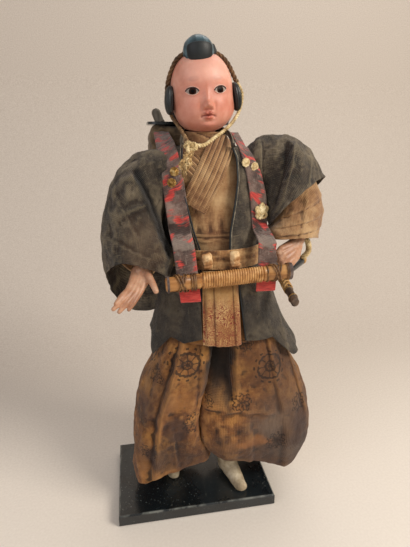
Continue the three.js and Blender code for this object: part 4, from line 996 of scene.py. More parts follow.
# Crinkled silk: pale threads, browned at their ends
tasselSilk, tree, shader, tasselColour = rampMaterial(
    "crinkledTasselSilk", [(0.3, "#74542F"), (0.5, "#C4A26C"), (0.66, "#F0DDAE")], 300.0, 0.75, 0.5
)
heights = addNode(tree, "SeparateXYZ", {"Vector": addNode(tree, "TexCoord", out="Object")}, out="Z")
lowEnd = addNode(
    tree, "MapRange",
    {"Value": heights, "From Min": place((0, 0, 319)).z, "From Max": place((0, 0, 306)).z, "To Max": 0.7},
)
browned = addNode(tree, "Mix", {0: lowEnd, 6: tasselColour, 7: colour("#54381E")}, data_type="RGBA")
tree.links.new(browned, shader.inputs["Base Color"])
finishPiece(tassel, tasselSilk, "head", "gold_cord", "cord_tassel")
print("hair, cap and head cords are made")

# Under robe, neck wrap and the two crossed collars
robe = {"bottom": 241, "top": 330, "offset": 2.0, "waist": (260.2, 256.0), "fold": ((14, 324), (-8, 286))}


def robeShape(u, v):
    angle = 360 * u - 180
    z = mix(robe["bottom"], robe["top"], v)
    front = smooth(math.cos(math.radians(angle)), 0.2, 0.7)
    ridges = sum(1.5 * bump(z, height + 0.35 * math.cos(angle / 5), 0.8) for height in robe["waist"])
    gathers = 0.4 * math.cos(math.radians(angle) * 24) * smooth(z, 261, 265) * (1 - smooth(z, 267, 288))
    at = aroundBody(angle, z, robe["offset"] - 0.5)
    (x0, z0), (x1, z1) = robe["fold"]
    beside = (at.x - x1) - (x0 - x1) * (z - z1) / (z0 - z1)
    lap = 0.7 * smooth(beside, -0.8, 0.8) * (1 - smooth(beside, 2, 14))
    return aroundBody(angle, z, robe["offset"] - 0.4 + front * (ridges + gathers + lap))


underRobe = clothGrid("ochre_under_robe", 120, 56, robeShape, (235, 92), closed=True)
crumple(underRobe, 0.35, 11, 3.1)
finishCloth(underRobe, 1.3, reach=0.35)
finishPiece(underRobe, ochreSilk, "figure", "ochre_silk", "under_robe")


neckFold = {
    "wide": (20.8, 16.8), "deep": (16.5, 13.8), "bottom": 322.6, "top": 342.2, "laps": 2.6, "lap": 1.3
}


def neckWrapShape(u, v):
    turn = 2 * math.pi * u
    lap = neckFold["lap"] * ((neckFold["laps"] * v + 0.9 * math.sin(turn)) % 1) ** 0.8
    wide, deep = mix(*neckFold["wide"], v) + 0.5 * lap, mix(*neckFold["deep"], v) + lap
    z = mix(neckFold["bottom"], neckFold["top"] - 0.6 * math.cos(turn), v)
    return (-1.5 + wide * math.sin(turn), 1 - deep * math.cos(turn), z)


neckWrap = clothGrid("ochre_neck_wrap", 84, 26, neckWrapShape, (105, 20), closed=True, axis=None)
finishCloth(neckWrap, 1.3, reach=0.3)
finishPiece(neckWrap, ochreSilk, "figure", "ochre_silk", "neck_wrap")

# Each collar is a wide folded band with narrow pleats along it
collars = {
    "right": {
        "route": [(-21, 322), (-14.5, 316), (-4, 306), (5, 297)], "offset": 3.7, "width": 17,
        "length": 0.037, "pleats": 4.5,
    },
    "left": {
        "route": [(15, 339.5), (11.8, 334), (7, 325), (-1.5, 309.5), (-9, 296), (-16, 283)], "offset": 5.6,
        "width": 22, "length": 0.063, "pleats": 5.5,
    },
}
for side, collar in collars.items():
    route = throughPoints([(x, 0, z) for x, z in collar["route"]], 48)

    def collarShape(u, v):
        at, share = rowPlace(route, v)
        here = route[at].lerp(route[at + 1], share)
        line = (route[at + 1] - route[at]).normalized()
        away = (u - 0.5) * collar["width"]
        pleats = (collar["pleats"] * u) % 1
        rise = 1.3 * smooth(pleats, 0, 0.7) * (1 - smooth(pleats, 0.84, 1))
        rise *= 1 - 0.6 * smooth(v, 0.55, 1)
        x, z = here.x - line.z * away, here.z + line.x * away
        return onFront(x, min(z, 339), collar["offset"] - 0.9 + rise)

    across = (collar["width"], 1000 * collar["length"])
    band = clothGrid(side + "_pleated_collar", 48, 40, collarShape, across)
    crumple(band, 0.15, 8, 1.7)
    finishCloth(band, 1.0, reach=0.28)
    finishPiece(band, ochreSilk, "figure", "ochre_silk", side + "_collar")
print("robe and collars are draped")

# Jacket: two fronts and a back that hang from the shoulders past the belt, in soft folds
jacket = {"offset": 8.5, "skirtTop": 205, "top": 331, "fold": 3.4, "foldStart": 228, "thick": 1.2}
frontEdge = {
    "right": [(140, -12), (176, -9), (232, -11), (250, -11), (264, -15.6), (305, -25.4), (331, -22)],
    "left": [
        (140, 30), (170, 27), (232, 20), (250, 13.5), (264, 14), (285, 18), (305, 21), (322, 21.5),
        (331, 18.5),
    ],
}
hems = {
    "right": [(0, 175), (0.24, 167.5), (0.42, 172), (0.62, 152), (0.8, 160), (1, 167)],
    "left": [(0, 170), (0.34, 168), (0.55, 144), (0.72, 141), (1, 148)],
}


def foldReach(z):
    return 2 * jacket["fold"] * max(jacket["foldStart"] - z, 0) / jacket["foldStart"]


def fluting(angle, z):
    return foldReach(z) * (1 - math.cos(math.radians(angle) * 9)) / 2


def jacketHeight(v, hem):
    split = 0.34
    if v < split:
        return mix(hem, jacket["skirtTop"], v / split)
    return mix(jacket["skirtTop"], jacket["top"], (v - split) / (1 - split))


# The angle of a piece's first edge by height, the angle of its other edge, its hem and the size of its grid
jacketPieces = {
    "right": (
        lambda z: angleAt(along(frontEdge["right"], z), z, 7), -91, lambda u: along(hems["right"], u),
        (92, 175),
    ),
    "left": (
        lambda z: angleAt(along(frontEdge["left"], z), z, 7), 91, lambda u: along(hems["left"], u),
        (88, 185),
    ),
    "back": (lambda z: 89, 271, lambda u: mix(148, 166, u), (150, 180)),
}
for side, (fromAngle, toAngle, hem, flat) in jacketPieces.items():

    def jacketShape(u, v):
        z = jacketHeight(v, hem(u))
        angle = mix(fromAngle(z), toAngle, u)
        hang = smooth(z, 240, 160) if z < 240 else 0
        ripple = 1.5 * math.sin(math.radians(angle) * 7 + 0.02 * z) * hang
        seamLap = -0.3 if side == "back" else 0
        edgeCurl = 0.8 * bump(u, 0, 0.03) * (side != "back")
        return aroundBody(angle, z, jacket["offset"] + fluting(angle, z) + ripple + seamLap + edgeCurl)

    cloth = clothGrid("jacket_" + side + "_cloth", 70 if side == "back" else 44, 72, jacketShape, flat)
    crumple(cloth, 1.4, 15, 4.2 + len(side), stretch=(1, 1, 1.7), lift=0.3)
    crumple(cloth, 0.5, 5, 1.2)
    finishCloth(cloth, jacket["thick"])
    node = "jacket_back" if side == "back" else "jacket_" + side + "_front"
    finishPiece(cloth, jacketSilk, "figure", "jacket_silk", node)
    if side == "back":
        continue
    # Pale piping beside a black edge along the front
    for name, inset, radius, finish in (
        ("piping", 1.1, 0.38, agedPiping), ("edging", -0.1, 0.75, bandBlack)
    ):
        sign = -1 if side == "right" else 1
        edge = []
        for i in range(61):
            z = mix(236 if name == "piping" else hem(0) + 2, jacket["top"] + 0.5, i / 60)
            x = along(frontEdge[side], z) + sign * inset
            edge.append(onFront(x, min(z, 333), jacket["offset"] + 0.9 + fluting(angleAt(x, z, 8), z)))
        trim = strandCord("jacket_" + side + "_" + name, [edge], 1, 0, radius, 1)
        finishPiece(trim, finish, "figure", "jacket_silk")

# The collar goes on up behind the neck
neckRoute = [
    (18.5, -22.4, 330.5), (18.4, -18, 335), (17.6, -8, 340), (13.5, 6, 343), (0, 15.5, 344),
    (-14.5, 7, 342.5), (-20, -7, 339), (-22.2, -17, 334.5), (-22.2, -22.4, 330.5),
]
for name, radius, rise, finish in (
    ("roll", 1.7, 0, jacketSilk), ("edging", 0.75, 1.4, bandBlack), ("piping", 0.45, 2.4, agedPiping)
):
    path = [point + Vector((0, 0, rise)) for point in throughPoints(neckRoute, 70)]
    trim = strandCord("neck_" + name, [path], 1, 0, radius, 1, sides=3)
    finishPiece(trim, finish, "figure", "jacket_silk")
print("jacket is hung")

# Sleeves: rings given by an outer edge, an inner edge and half a depth
sleeves = {
    "jacket_right_sleeve": [
        ((-34, 0, 328), (-33, -6, 290), (0, 19, -2)), ((-47, 0, 328), (-37, -9, 280), (0, 22, -2)),
        ((-60, 0, 323), (-39, -10, 272), (0, 24, -2)), ((-76, -1, 308), (-38, -14, 262), (0, 26, -3)),
        ((-85, -3, 284), (-34, -18, 252), (0, 27, -6)), ((-91, -6, 254), (-30, -27, 240), (0, 27, -12)),
        ((-89, -6, 222), (-36, -26, 216), (0, 29, -22)),
    ],
    "jacket_left_sleeve": [
        ((34, 0, 327), (34, -2, 292), (0, 11, -2)), ((45, 0, 337), (43, -3, 284), (0, 15, -2)),
        ((61, 0, 340), (49, -6, 274), (1, 21, -3)), ((74, -1, 338), (51, -9, 270), (2, 25, -4)),
        ((87, -2, 331), (53, -13, 267), (3, 25, -5)), ((98, -4, 317), (53, -17, 266), (5, 24, -7)),
        ((107, -5, 303), (52, -20, 265), (6, 23, -9)),
    ],
    "right_inner_sleeve": [
        ((-38, 0, 312), (-38, 0, 292), (0, 12, 0)), ((-62, -1, 305), (-54, -2, 280), (0, 13, 0)),
        ((-79, -2, 282), (-57, -5, 264), (0, 13, -2)), ((-80, -10, 262), (-50, -18, 250), (0, 14, -7)),
        ((-78, -20, 250), (-47, -28, 240), (0, 12, -12)), ((-76, -26, 243), (-46, -32, 235), (0, 11, -13)),
    ],
    "left_inner_sleeve": [
        ((46, 0, 320), (46, 0, 293), (0, 13, 0)), ((72, -2, 322), (62, -4, 282), (0, 15, 0)),
        ((97, -5, 302), (57, -12, 266), (2, 18, -1)), ((105, -8, 280), (52, -17, 261), (2, 20, -2)),
        ((103, -12, 262), (52, -21, 257), (2, 19, -4)), ((100, -15, 251), (54, -24, 253), (2, 17, -4)),
    ],
}
sleeveRows = 60
sleeveLooks = {
    "jacket_right_sleeve": {
        "flat": (0.175, 0.11), "columns": 110, "crumple": (2.2, 15), "square": 2.5, "seed": 5.3, "drop": 17
    },
    "jacket_left_sleeve": {
        "flat": (0.16, 0.085), "columns": 110, "crumple": (1.8, 15), "square": 2.3, "seed": 8.1
    },
    "right_inner_sleeve": {
        "flat": (0.09, 0.085), "columns": 72, "crumple": (1.0, 12), "square": 2.3, "seed": 2.2
    },
    "left_inner_sleeve": {
        "flat": (0.13, 0.075), "columns": 96, "crumple": (1.3, 11), "square": 2.4, "seed": 6.4
    },
}
# Folds on the front of a sleeve: a line in x and z, its step, how far the step fades, and the side
# that is lifted
creases = {
    "jacket_right_sleeve": [
        (((-62, 311), (-50, 288)), 9, 18, 1), (((-50.5, 289), (-38, 248)), 8, 18, 1),
        (((-84, 262), (-52, 246)), 2.2, 8, 1), (((-76, 296), (-60, 262)), 1.6, 8, 1),
    ],
    "jacket_left_sleeve": [
        (((67, 334), (53, 276)), 8, 18, -1), (((46, 334), (44, 290)), 1.6, 7, 1),
        (((88, 322), (78, 288)), 1.6, 10, 1),
    ],
    "right_inner_sleeve": [(((-80, 256), (-46, 244)), 2.0, 5, 1), (((-78, 248), (-46, 238)), 1.6, 5, 1)],
    "left_inner_sleeve": [
        (((106, 290), (56, 270)), 1.8, 7, 1), (((105, 274), (56, 264)), 1.6, 6, 1),
        (((104, 262), (56, 258)), 2.0, 5, 1), (((82, 296), (74, 256)), 1.3, 7, -1),
    ],
}


def creaseDepth(name, at):
    return sum(pleatStep(at.x, at.z, *crease) for crease in creases[name])


for name, stations in sleeves.items():
    look = sleeveLooks[name]
    over = name.startswith("jacket")
    outs, intos, depths = (throughPoints([s[k] for s in stations], sleeveRows) for k in range(3))

    def sleeveShape(u, v):
        at, share = rowPlace(outs, v)
        out, into, depth = (row[at].lerp(row[at + 1], share) for row in (outs, intos, depths))
        centre = (out + into) / 2
        turn = 2 * math.pi * u
        c, s = math.cos(turn), math.sin(turn)
        square = (abs(c) ** look["square"] + abs(s) ** look["square"]) ** (-1 / look["square"])
        fold = 1 - 0.035 * v * (1 - math.cos(5 * turn))
        reach = (out - centre) * c + depth * s
        point = centre + reach * square * fold
        point.z -= look.get("drop", 0) * v ** 3 * max(0.0, s)
        if s < 0.2:
            step = depth.normalized() * creaseDepth(name, point)
            point -= step * smooth(0.2 - s, 0, 0.4) * smooth(v, 0.0, 0.12)
        return point

    spread = (look["flat"][0] * 1000, look["flat"][1] * 1000)
    grid = (look["columns"], sleeveRows)
    sleeve = clothGrid(name + "_cloth", *grid, sleeveShape, spread, closed=True, axis=None)
    depth, grain = look["crumple"]
    crumple(sleeve, depth, grain, look["seed"], stretch=(1, 1, 1.4))
    crumple(sleeve, 0.7 if over else 0.45, 5, look["seed"])
    finishCloth(sleeve, 1.3 if over else 1.2, reach=0.55 if over else 1.0)
    silk, slot = (jacketSilk, "jacket_silk") if over else (ochreSilk, "ochre_silk")
    finishPiece(sleeve, silk, "figure", slot, name)
    arm = "right_arm" if "right" in name else "left_arm"
print("sleeves are hung")

# Divided skirt: a seat and two wide legs with pleats
# Brocade: golden brown silk with dark woven wheels, blotted with age
brocade, tree, shader, cloth = agedCloth(
    "ochreBrocade", "#58341C", "#8A582C", "#BC8645", "#3A261A", stained=0.95, patch=24, sheen=0.1,
    rough=0.76, relief=0.7, rubbed="#C48E52",
)
coords = addNode(tree, "TexCoord", out="Object")
wobble = addNode(tree, "TexNoise", {"Vector": coords, "Scale": 240.0, "Detail": 3.0})
bent = addNode(tree, "TexNoise", {"Vector": coords, "Scale": 45.0, "Detail": 2.0}, out="Color")
shifted = addNode(tree, "VectorMath", [bent, (0.006, 0.006, 0.006), coords], operation="MULTIPLY_ADD")
shifted = addNode(tree, "VectorMath", [shifted, (0.003, 0.003, 0.003)], operation="SUBTRACT")
parts = addNode(tree, "SeparateXYZ", {"Vector": shifted}).node.outputs


# A soft line round a wheel where its share of the radius has one value
def ringMark(share, at, width):
    away = addNode(tree, "Math", [share, at], operation="SUBTRACT")
    away = addNode(tree, "Math", [away], operation="ABSOLUTE")
    fade = {"Value": away, "From Min": width, "From Max": 0.4 * width}
    return addNode(tree, "MapRange", fade, interpolation_type="SMOOTHSTEP")


# Woven wheels and flower clusters, dark on the ground: middle x and z, radius, and how many spokes
wheels = [
    (-23, 148, 17, 8), (53, 138, 16, 8), (29, 163, 9, 5), (26, 107, 10, 5), (-18, 88, 11, 6),
    (-4, 107, 6, 5), (-66, 62, 9, 5), (84, 96, 9, 5), (-50, 133, 7, 5), (62, 60, 11, 6),
]
# Where the cloth faces sideways, the wheels are laid along its depth instead
facing = addNode(tree, "SeparateXYZ", {"Vector": addNode(tree, "NewGeometry", out="Normal")}, out="X")
facing = addNode(tree, "Math", [facing], operation="ABSOLUTE")
atSide = addNode(tree, "Math", [facing, 0.72], operation="GREATER_THAN")
sidewaysX = addNode(tree, "Math", [parts["Y"], 0.009], operation="SUBTRACT")
woven = addNode(tree, "Mix", {0: atSide, 2: parts["X"], 3: sidewaysX}, data_type="FLOAT")
marks = None
for x, z, radius, spokes in wheels:
    at = place((x, 0, z))
    dx = addNode(tree, "Math", [woven, at.x], operation="SUBTRACT")
    dz = addNode(tree, "Math", [parts["Z"], at.z], operation="SUBTRACT")
    squares = [addNode(tree, "Math", [gap, gap], operation="MULTIPLY") for gap in (dx, dz)]
    share = addNode(tree, "Math", squares, operation="ADD")
    share = addNode(tree, "Math", [share], operation="SQRT")
    share = addNode(tree, "Math", [share, radius / 1000], operation="DIVIDE")
    turn = addNode(tree, "Math", [dz, dx], operation="ARCTAN2")
    # Spokes keep their width and end inside the rim
    spoke = addNode(tree, "Math", [turn, spokes / 2], operation="MULTIPLY")
    spoke = addNode(tree, "Math", [spoke], operation="SINE")
    spoke = addNode(tree, "Math", [spoke], operation="ABSOLUTE")
    spoke = addNode(tree, "Math", [spoke, share], operation="MULTIPLY")
    fades = []
    for value, start, end in ((spoke, 0.2, 0.06), (share, 0.76, 0.7)):
        fade = {"Value": value, "From Min": start, "From Max": end}
        fades.append(addNode(tree, "MapRange", fade, interpolation_type="SMOOTHSTEP"))
    spoke = addNode(tree, "Math", fades, operation="MULTIPLY")
    # The rim waves like petals, more on the small flowers than on the wheels
    petal = addNode(tree, "Math", [turn, 2 * spokes], operation="MULTIPLY")
    petal = addNode(tree, "Math", [petal], operation="COSINE")
    waving = 0.02 if spokes > 6 else 0.1
    petal = addNode(tree, "Math", [petal, waving, share], operation="MULTIPLY_ADD")
    rims = [ringMark(petal, 0.7, 0.1), ringMark(petal, 0.27, 0.09)]
    rim = addNode(tree, "Math", rims, operation="MAXIMUM")
    mark = addNode(tree, "Math", [spoke, rim], operation="MAXIMUM")
    # Dots stand round the outside
    dots = addNode(tree, "Math", [turn, 1.5 * spokes], operation="MULTIPLY")
    dots = addNode(tree, "Math", [dots], operation="COSINE")
    fade = {"Value": dots, "From Min": 0.1, "From Max": 0.6}
    dots = addNode(tree, "MapRange", fade, interpolation_type="SMOOTHSTEP")
    dots = addNode(tree, "Math", [ringMark(share, 0.93, 0.08), dots], operation="MULTIPLY")
    mark = addNode(tree, "Math", [mark, dots], operation="MAXIMUM")
    marks = addNode(tree, "Math", [marks, mark], operation="MAXIMUM") if marks else mark
ground = addNode(tree, "Math", [wobble, 1.8, -0.95], operation="MULTIPLY_ADD")
worn = addNode(tree, "Math", [marks, ground], operation="ADD")
inked = addNode(
    tree, "MapRange", {"Value": worn, "From Min": 0.38, "From Max": 0.75, "To Max": 0.8},
    interpolation_type="SMOOTHSTEP",
)
# Age has blotted the skirt: a round blot, a rubbed fold, greyed and browned parts low on the left side;
# painted shade darkens the gap between the legs
straight = addNode(tree, "SeparateXYZ", {"Vector": coords}, out="Y")
ragged = addNode(tree, "VectorMath", [bent, (0.022, 0.022, 0.022), coords], operation="MULTIPLY_ADD")
torn = addNode(tree, "SeparateXYZ", {"Vector": ragged}).node.outputs
across = addNode(tree, "Math", [torn["X"], figureAt.x / 1000 + 0.011], operation="SUBTRACT")
upward = addNode(tree, "Math", [torn["Z"], figureAt.z / 1000 + 0.011], operation="SUBTRACT")
front = addNode(
    tree, "MapRange", {"Value": straight, "From Min": 0.02, "From Max": -0.026},
    interpolation_type="SMOOTHSTEP",
)
spots = [
    (72, 55, 42, 42, 0.9, "#4A3A33", 0.75), (60, 92, 30, 22, 1.0, "#5C4A3E", 0.6),
    (86, 62, 12, 30, 1.0, "#3A2C2A", 0.6), (55, 80, 15, 13, 1.0, "#857668", 0.3),
    (72, 45, 12, 9, 1.0, "#8A7C70", 0.3), (20, 60, 14, 6, 1.0, "#B47A40", 0.6),
    (-34, 84, 12, 12.5, 0.35, "#41291F", 0.8), (-55, 54, 15, 9, 0.8, "#53423A", 0.6),
    (-62, 106, 10, 9, 0.9, "#54382A", 0.6), (-30, 45, 34, 9, 0.9, "#4E3424", 0.6),
    (-66, 40, 5, 26, 0.8, "#B87E44", 0.6), (10, 58, 15, 12, 0.9, "#57402F", 0.5),
    # Painted shade in the gap between the legs and on the inner panel behind the box pleat
    (11, 158, 9.5, 30, 0.8, "#1A1410", 0.9), (14, 128, 5.5, 26, 0.9, "#2A2019", 0.8),
    (4, 150, 5, 34, 0.9, "#120E0B", 0.8), (5, 134, 10, 16, 0.8, "#1C1510", 0.75),
    (-2, 120, 9, 14, 0.9, "#33251C", 0.65), (9, 112, 8, 12, 1.0, "#5A4433", 0.5),
    (52, 138, 34, 28, 1.0, "#33241C", 0.42), (52, 44, 46, 24, 1.0, "#40322A", 0.4),
    (-42, 54, 34, 22, 1.0, "#33211A", 0.45), (-48, 118, 12, 22, 1.0, "#5E4636", 0.4),
    (-30, 112, 12, 10, 1.0, "#B27A40", 0.4), (-12, 132, 10, 16, 1.0, "#5A3A26", 0.4),
    (30, 40, 22, 6, 0.9, "#594236", 0.5), (27, 92, 24, 4, 0.9, "#8A5A30", 0.4),
    (75, 118, 24, 26, 1.0, "#5E4330", 0.5), (45, 140, 14, 20, 1.0, "#70492A", 0.4),
    (40, 62, 16, 6, 0.9, "#B4743A", 0.4),
]
stained = paintSpots(tree, cloth, across, upward, spots, front)
patterned = addNode(tree, "Mix", {0: inked, 6: stained, 7: colour("#231710")}, data_type="RGBA")
tree.links.new(patterned, shader.inputs["Base Color"])


seatSize = {"bottom": 166.5, "top": 238, "offsets": (4.0, 1.6)}


def seatShape(u, v):
    z = mix(seatSize["bottom"], seatSize["top"], v)
    return aroundBody(360 * u, z, mix(*seatSize["offsets"], v))


seat = clothGrid("hakama_seat_cloth", 72, 24, seatShape, (330, 75), closed=True)
finishCloth(seat, 1.2, 0)
finishPiece(seat, brocade, "figure", "brocade", "hakama_seat")

# Stations up each leg: height, from and to in x, half depth, and the lift at each side
skirtLegs = {
    "right": [
        (25, -75, 4, 36, -5, 7), (44, -74, 1, 37, 0, 3), (65, -72, -6, 38, 0, 0), (91, -69, -7, 39, 0, 0),
        (116, -63, -3.5, 39, 0, 0), (140, -51, 1, 36, 0, 0), (165.5, -43, 4, 33, 0, 0),
        (182, -38, 5, 30, 0, 0),
    ],
    "left": [
        (28, -1, 86, 37, 16, -15), (46, -9, 100, 41, 6, -7), (65, -13, 104, 43, 0, 0),
        (91, -13.5, 103, 43, 0, 0), (116, -10.5, 95, 41, 0, 0), (140, -6.5, 80, 37, 0, 0),
        (165.5, -1, 67, 34, 0, 0), (182, 2, 55, 30, 0, 0),
    ],
}
legCloth = {"right": {"flat": 230, "seed": 3.3}, "left": {"flat": 310, "seed": 7.7}}
frontLift = {
    "right": [(-75, 0), (-60, 1), (-45, 7), (-28, 8), (0, 7)], "left": [(-5, -3), (20, 1), (43, 6), (80, 5)]
}
# Pleats on the front of each leg, given as the sleeves' folds are
pleats = {
    "right": [
        (((-27, 170), (-50, 98)), 6, 16, -1), (((-50, 98), (-58, 28)), 6, 14, -1),
        (((-38, 168), (-62, 96)), 2.4, 6, -1), (((-10, 165), (-14, 100)), 1.4, 9, -1),
        (((-36, 80), (-30, 26)), 2.0, 8, 1), (((-29, 168), (-46, 138)), 1.5, 2.2, -1),
        (((-35, 166), (-49, 142)), 1.4, 2.2, -1),
    ],
    "left": [
        (((-12, 101), (56, 91)), 4, 7, -1), (((50, 165), (64, 92)), 2.6, 13, -1),
        (((74, 150), (92, 84)), 3, 12, -1), (((36, 84), (42, 26)), 2.2, 9, 1),
        (((66, 84), (72, 20)), 2.6, 10, -1), (((2, 88), (12, 40)), 2.0, 8, -1),
    ],
}


def pleatRise(side, at):
    total = sum(pleatStep(at.x, at.z, *pleat) for pleat in pleats[side])
    if side == "left":
        # The inner panel of the left leg lies deep behind the box pleat's straight edge
        total -= 13 * (1 - smooth(at.x, 17.5, 20)) * smooth(at.z, 98, 130)
    return total


for side, stations in skirtLegs.items():
    measures = [throughPoints([(s[k], 0, 0) for s in stations], 60) for k in range(6)]
    inward = 1 if side == "right" else -1

    def legShape(u, v):
        at, share = rowPlace(measures[0], v)
        z, left, right, deep, low, high = (mix(row[at].x, row[at + 1].x, share) for row in measures)
        turn = 2 * math.pi * u
        c, s = math.cos(turn), math.sin(turn)
        corner = smooth(-inward * c, 0.1, 0.6) * smooth(-s, 0.05, 0.5) * (1 - smooth(v, 0.05, 0.55))
        power = mix(2.3, 4.2, smooth(inward * c, 0, 0.5)) + 3.2 * corner
        square = (abs(c) ** power + abs(s) ** power) ** (-1 / power)
        fold = 1 - 0.02 * (1 - v) * (1 - math.cos(6 * turn))
        half, middle = (right - left) / 2, (left + right) / 2
        x = middle + c * square * half * fold
        y = -3 + s * square * deep * fold
        height = z + mix(low, high, (x - left) / (right - left))
        free = 1 - smooth(v, 0, 0.14)
        height += free * 0.5 * math.sin(9 * turn)
        height += (1 - smooth(v, 0, 0.4)) * along(frontLift[side], x) * smooth(-s, -0.2, 0.5)
        point = Vector((x, y, height))
        if s < 0.3:
            point.y -= pleatRise(side, point) * smooth(0.3 - s, 0, 0.5)
        return point

    flatWidth = legCloth[side]["flat"]
    spread = (flatWidth, 162)
    leg = clothGrid("hakama_" + side + "_cloth", 150, 64, legShape, spread, closed=True, axis=None)
    crumple(leg, 2.0, 22, legCloth[side]["seed"], stretch=(1, 1, 1.5))
    crumple(leg, 1.0, 8, 1.3)
    crumple(leg, 0.35, 4, 2.9)
    finishCloth(leg, 1.3, reach=0.7)
    finishPiece(leg, brocade, "figure", "brocade", "hakama_" + side + "_leg")
print("divided skirt is hung")

# Sock feet, broad at the ankle under the skirt
feet = {
    "right": {"toe": (-35, -15), "heel": (-30, 27), "ankle": (-31, 10), "knee": (-33, 9), "hip": (-13, 0)},
    "left": {"toe": (32, -43), "heel": (20, 1), "ankle": (22.5, -11), "knee": (25, -6), "hip": (24, -2)},
}
for side, foot in feet.items():
    toe, heel = Vector((*foot["toe"], 0)), Vector((*foot["heel"], 0))
    line = (toe - heel).normalized()
    across = Vector((-line.y, line.x, 0))
    up = Vector((0, 0, 1))
    chains = [
        [
            (heel + line * 8 + up * 8, 8.0), (heel + line * 18 + up * 9, 9.0),
            (heel + line * 29 + up * 7, 7.4), (toe - line * 5 + up * 5.2, 5.2),
        ],
        [
            (heel + line * 29 + across * 2.2 + up * 5, 5.0),
            (toe - line * 4.8 + across * 1.8 + up * 4.2, 4.2),
        ],
        [(heel + line * 29 - across * 2.2 + up * 5, 5.0), (toe - line * 6 - across * 2.2 + up * 4.0, 3.9)],
        [
            ((*foot["ankle"], 13), 10.5), ((*foot["ankle"], 36), 12.0), ((*foot["knee"], 91), 10),
            ((*foot["hip"], 166), 8.2),
        ],
    ]
    sock = meltedForm(side + "_sock_foot", chains, 0.9, 4)
    ground = place((0, 0, 0.35)).z
    for vertex in sock.data.vertices:
        vertex.co.z = max(vertex.co.z, ground)
    finishPiece(sock, sockCotton, "figure", "sock", side + "_leg")
print("sock feet are shaped")

# Belt with two small rolls of cloth, and the sash that hangs from it
belt = {
    "bottom": 234, "top": 250, "offset": 11.6, "rolls": {"right": -6.5, "left": 16.5}, "rollFoot": 236.5,
    "rollTop": 250,
}


def beltShape(u, v):
    z = mix(belt["bottom"], belt["top"], v)
    folds = 0.45 * bump(z, 245.5, 1.2) + 0.35 * bump(z, 239.5, 1.4) - 0.2 * bump(z, 242.5, 0.9)
    return aroundBody(360 * u - 180, z, belt["offset"] - 0.3 + folds)


beltBand = clothGrid("brown_belt", 120, 14, beltShape, (250, 16), closed=True)
crumple(beltBand, 0.6, 8, 2.8)
finishCloth(beltBand, 2.0, reach=0.3)
finishPiece(beltBand, beltCloth, "figure", "brown_cloth", "belt")

# Handled silk: light ridges and brown hollows
rollSilk = rampMaterial(
    "handledOchreSilk", [(0.34, "#583820"), (0.49, "#AA7A4A"), (0.63, "#E8C898")], 75.0, 0.8, 0.8
)[0]
bulge = [
    (0, 2.6), (0.6, 3.6), (2.2, 4.1), (3.2, 3.5), (4.6, 4.2), (6.2, 3.7), (7.4, 4.3), (9.0, 4.0),
    (10.4, 4.4), (12.6, 3.7), (13.4, 2.6),
]
for side, x in belt["rolls"].items():
    foot = onFront(x, 244.5, belt["offset"] + 3.7)
    start = Vector((foot.x + 1.2, foot.y, belt["rollFoot"]))
    end = Vector((foot.x - 1.2, foot.y - 0.3, belt["rollTop"]))
    roll = turnedForm(side + "_cloth_roll", start, end, bulge, 40, flatten=0.95)
    crumple(roll, 1.1, 4, 1.9)
    finishPiece(roll, rollSilk, "figure", "ochre_silk", side + "_belt_roll")

# Figured silk: a fine red-brown vine low on pale ochre
sashSilk, tree, shader, sashColour = agedCloth(
    "figuredOchreSilk", "#8E6238", "#B28650", "#D0AC76", "#744A2A", stained=0.5
)
coords = addNode(tree, "TexCoord", out="Object")
scrolls = addNode(tree, "TexNoise", {"Vector": coords, "Scale": 120.0, "Detail": 1.0, "Distortion": 2.4})
scrolls = addNode(tree, "Math", [scrolls, 0.06], operation="PINGPONG")
fade = {"Value": scrolls, "From Min": 0.034, "From Max": 0.018}
vine = addNode(tree, "MapRange", fade, interpolation_type="SMOOTHSTEP")
heights = addNode(tree, "SeparateXYZ", {"Vector": coords}, out="Z")
fade = {"Value": heights, "From Min": place((0, 0, 216)).z, "From Max": place((0, 0, 198)).z}
low = addNode(tree, "MapRange", fade, interpolation_type="SMOOTHSTEP")
drawn = addNode(tree, "Math", [vine, low], operation="MULTIPLY")
figured = addNode(tree, "Mix", {0: drawn, 6: sashColour, 7: colour("#7A3020")}, data_type="RGBA")
tree.links.new(figured, shader.inputs["Base Color"])


sashSize = {
    "bottom": 169.5, "top": 233.2, "widths": (33, 30), "middles": (6, 5), "offset": 10.9,
    "pleats": (0.1, 0.34, 0.86),
}


def sashShape(u, v):
    z = mix(sashSize["bottom"] + 0.8 * math.cos(5 * u), sashSize["top"], v)
    width = mix(*sashSize["widths"], v)
    x = mix(*sashSize["middles"], v) + (u - 0.5) * width
    pleat = 0
    for at in sashSize["pleats"]:
        pleat += 1.1 * smooth(u, at - 0.03, at) * (1 - smooth(u, at + 0.04, at + 0.16))
    return onFront(x, z, sashSize["offset"] + foldReach(z) + pleat)


sash = clothGrid("sash_front_cloth", 48, 48, sashShape, (40, 66))
crumple(sash, 0.6, 9, 6.1, stretch=(1, 1, 2.2))
finishCloth(sash, 1.2, reach=0.35)
finishPiece(sash, sashSilk, "figure", "ochre_silk", "sash_panel")
print("belt and sash are tied")

# Shoulder straps: from behind the bar, up the front, over the shoulder and back to the pack
# "shoulder" is the share of a strap up to the shoulder, "free" the height below which it hangs to the bar,
# and "taut" how much nearer the middle it takes its depth from
straps = {
    "width": 17, "narrow": 13.5, "thick": 1.5, "onJacket": 9.4, "free": 268, "caught": 256, "backZ": 341,
    "shoulder": 0.84, "taut": 0.84,
}
strapSides = {
    "right": {"bottom": (-20, 208.5), "top": -34.6, "seed": 0.0, "bow": 0.0},
    "left": {"bottom": (43, 214.5), "top": 29.3, "seed": 3.0, "bow": 6},
}
barY, barDeep = -53, 5
packLow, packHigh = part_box("pack_box")
packFront = packLow.y * 1000


